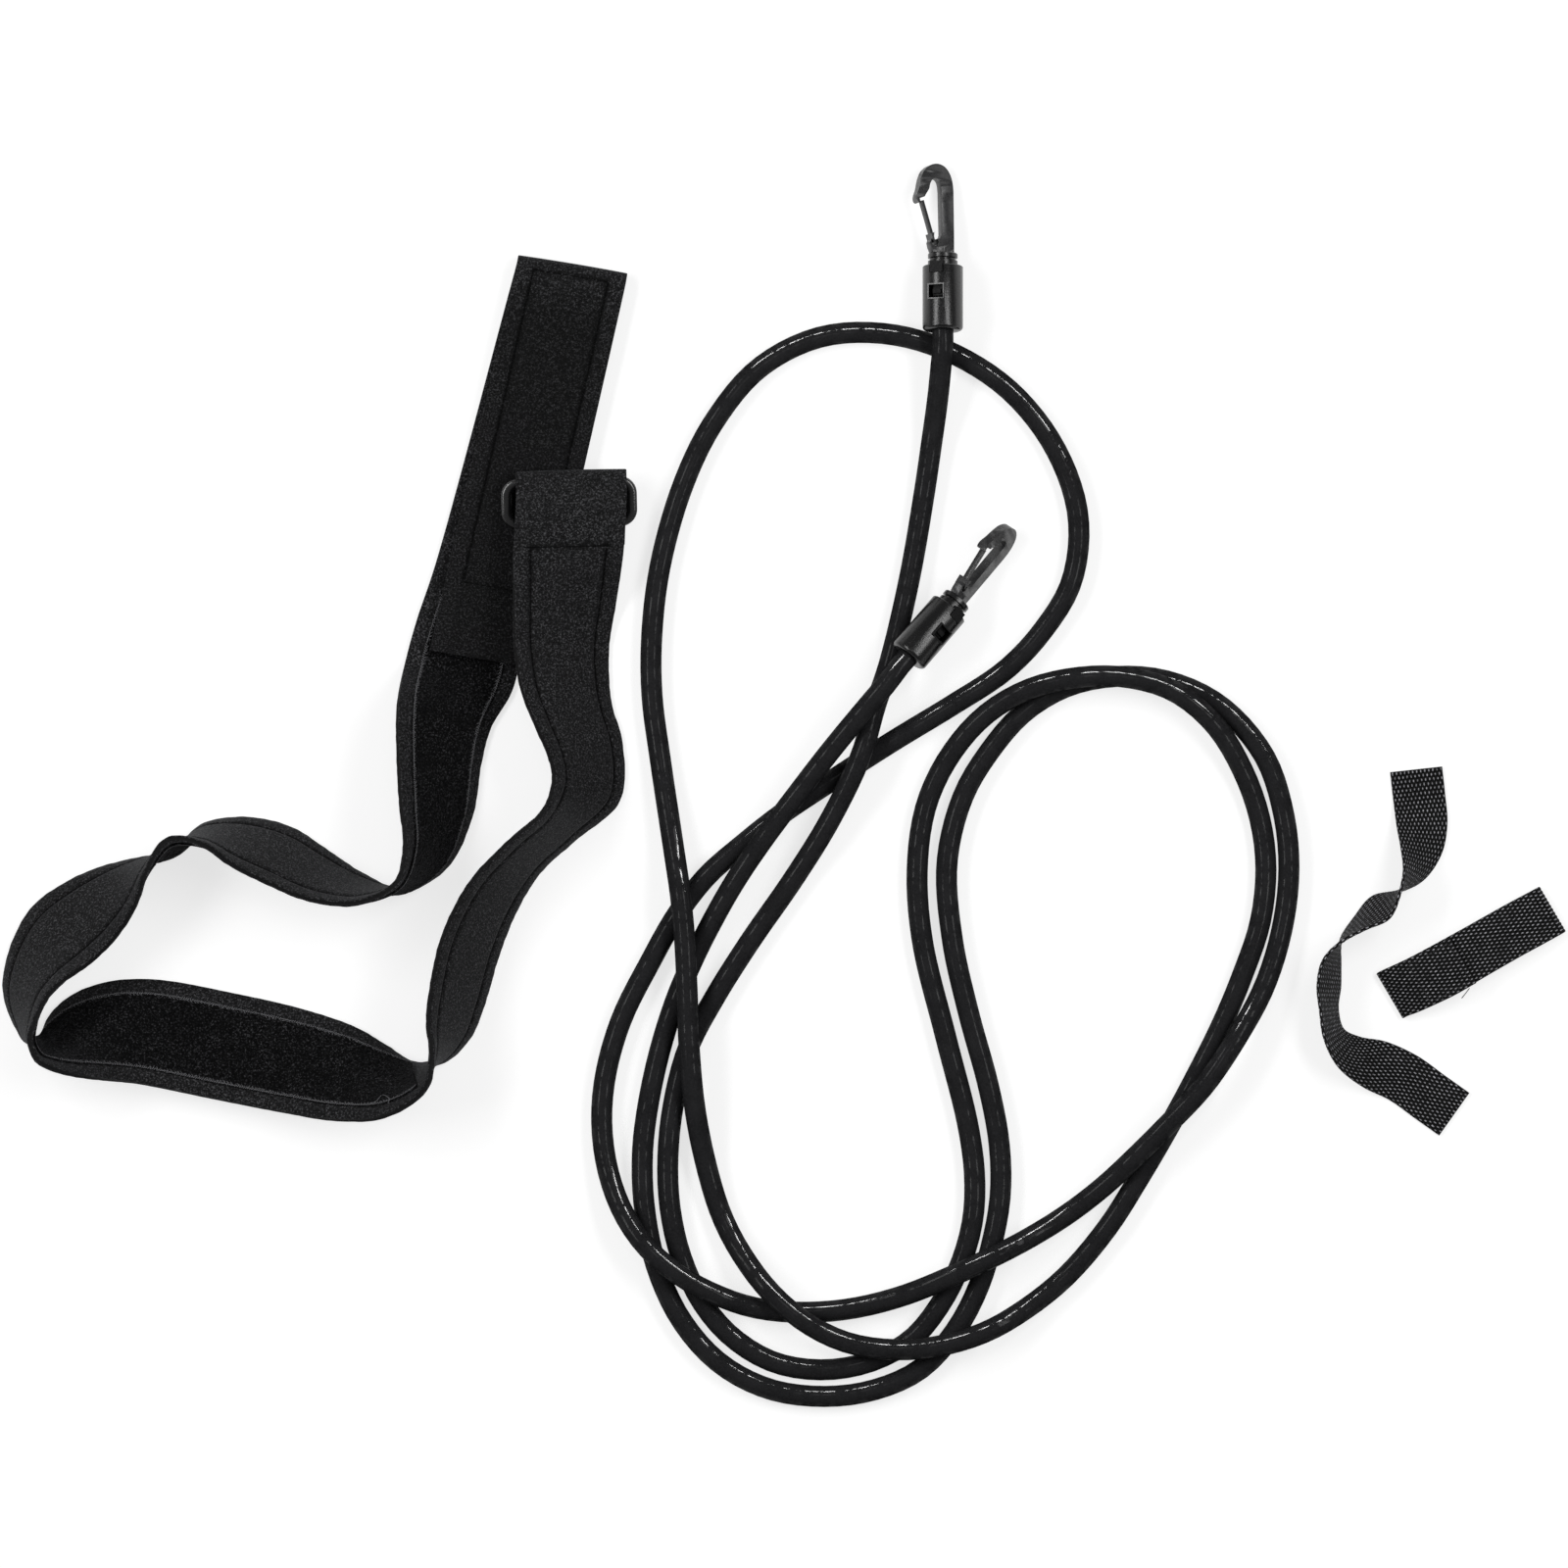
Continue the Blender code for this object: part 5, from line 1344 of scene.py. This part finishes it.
def make_plug(name):
    plug = turned(name, [(0.0, PLUG_START + PLUG_LENGTH), (PLUG_NOSE_RADIUS, PLUG_START + PLUG_LENGTH),
                         (PLUG_RADIUS, PLUG_START + PLUG_RIM), (PLUG_RADIUS, PLUG_START), (0.0, PLUG_START)])
    soften(plug, SEAT_ROUND)
    return plug


def fitting_frames(letter):
    """The frames of a barrel and of its hook, both looking along +Y."""
    heading, tilt, *rolls = FITTING_DEGREES[letter]
    height = FITTING_HEIGHT_SHARES[letter] * BARREL_RADIUS
    aim = Matrix.Translation(floor_place(FITTING_PIXELS[letter], height))
    aim = aim @ Matrix.Rotation(math.radians(-heading), 4, "Z") @ Matrix.Rotation(math.radians(-tilt), 4, "X")
    return [aim @ Matrix.Rotation(math.radians(roll), 4, "Y") for roll in rolls]


def build_fittings(frames):
    shell = plastic_material("barrel_plastic", *BARREL_LOOK)
    moulded = plastic_material("hook_plastic", *HOOK_LOOK)
    inside_shade = plastic_material("plug_plastic", *HOLLOW_SHADE_LOOK)
    for letter, (barrel_frame, hook_frame) in frames.items():
        for kind, make, body, slot, material, frame in (
                ("barrel", make_barrel, "tether", "barrel_plastic", shell, barrel_frame),
                ("swivel_seat", make_seat, "tether", "hook_plastic", shell, barrel_frame),
                ("tube_plug", make_plug, "tether", "plug_plastic", inside_shade, barrel_frame),
                ("snap_hook", make_hook, f"hook_{letter}", "hook_plastic", moulded, hook_frame),
                ("hook_gate", make_gate, f"gate_{letter}", "hook_plastic", moulded, hook_frame)):
            node = f"{kind}_{letter}"
            item = make(node + "_moulded")
            # Faces inside the barrel get the darker material: painted shade of the barrel's hollow
            inside = [face.index for face in item.data.polygons if face.center.y < COLLAR_START]
            finish_piece(item, node, body, material, frame)
            if kind == "swivel_seat":
                item.data.materials.append(inside_shade)
                for index in inside:
                    item.data.polygons[index].material_index = 1


def build_studio():
    scene = bpy.context.scene
    scene.view_settings.view_transform = "Standard"
    data = bpy.data.cameras.new("camera")
    data.type = "ORTHO"
    data.ortho_scale = PIXEL * PHOTO_PIXELS
    camera = add_object("camera", data)
    camera.location = floor_place((PHOTO_PIXELS / 2, PHOTO_PIXELS / 2), CAMERA_HEIGHT)
    scene.camera = camera

    half = FLOOR_HALF
    corners = [(-half, -half, 0), (half, -half, 0), (half, half, 0), (-half, half, 0)]
    floor = make_mesh("floor", corners, [(0, 1, 2, 3)], floor_material())
    floor.location.z = FLOOR_DROP
    angles = [2 * math.pi * step / BACKDROP_SIDES for step in range(BACKDROP_SIDES)]
    points = [(math.cos(angle) * BACKDROP_RADIUS, math.sin(angle) * BACKDROP_RADIUS, height)
              for height in (-BACKDROP_DEPTH, BACKDROP_HEIGHT) for angle in angles]
    faces = grid_faces(2, BACKDROP_SIDES) + [tuple(range(BACKDROP_SIDES))]
    backdrop = make_mesh("backdrop", points, faces, backdrop_material(), smooth=False)

    world = bpy.data.worlds.new("studio")
    scene.world = world
    world.use_nodes = True
    background = world.node_tree.nodes["Background"]
    background.inputs["Color"].default_value = WHITE
    background.inputs["Strength"].default_value = WORLD_LIGHT

    for lamp in LAMPS:
        add_lamp(*lamp)


def add_lamp(name, place, size, power):
    light = bpy.data.lights.new(name, "AREA")
    light.shape = "RECTANGLE"
    light.size, light.size_y = size
    light.energy = power
    lamp = add_object(name, light)
    lamp.location = place
    lamp.rotation_euler = (-Vector(place)).to_track_quat("-Z", "Y").to_euler()
    return lamp


def add_glint_lamp(item):
    """A long narrow lamp that only draws its thin line on the item's gloss."""
    lamp = add_lamp("glint", *GLINT_LAMP)
    lamp.visible_diffuse = False
    lamp.visible_camera = False
    receivers = bpy.data.collections.new("glint_receivers")
    receivers.objects.link(item)
    lamp.light_linking.receiver_collection = receivers


def floor_material():
    """A grey floor that takes shadows and is lifted to white where it is seen or reflected."""
    shader = Shader("floor_white", grey(FLOOR_GREY, 1.0), 0.9, specular=0.0)
    plain = shader.bsdf.outputs[0]
    glow = shader.node("Emission", Color=WHITE, Strength=FLOOR_GLOW).outputs[0]
    lifted = shader.node("AddShader", i0=plain, i1=glow).outputs[0]
    blend = shader.node("MixShader", i0=shader.seen(), i1=plain, i2=lifted).outputs[0]
    shader.set(shader.tree.nodes["Material Output"], "Surface", blend)
    return shader.material


def backdrop_material():
    """White to the camera and in reflections; it gives no other light."""
    shader = Shader("backdrop_white", grey(0.0), 1.0, specular=0.0)
    shader.surface("Emission Color", WHITE)
    shader.surface("Emission Strength", shader.seen())
    return shader.material


SCRATCH = bpy.data.materials.new("scratch")
build_studio()
FRAMES = {letter: fitting_frames(letter) for letter in FITTING_PIXELS}
build_tube([pair[0] for pair in FRAMES.values()])
build_belt()
build_ring()
build_fittings(FRAMES)
build_anchors()
bpy.data.materials.remove(SCRATCH)
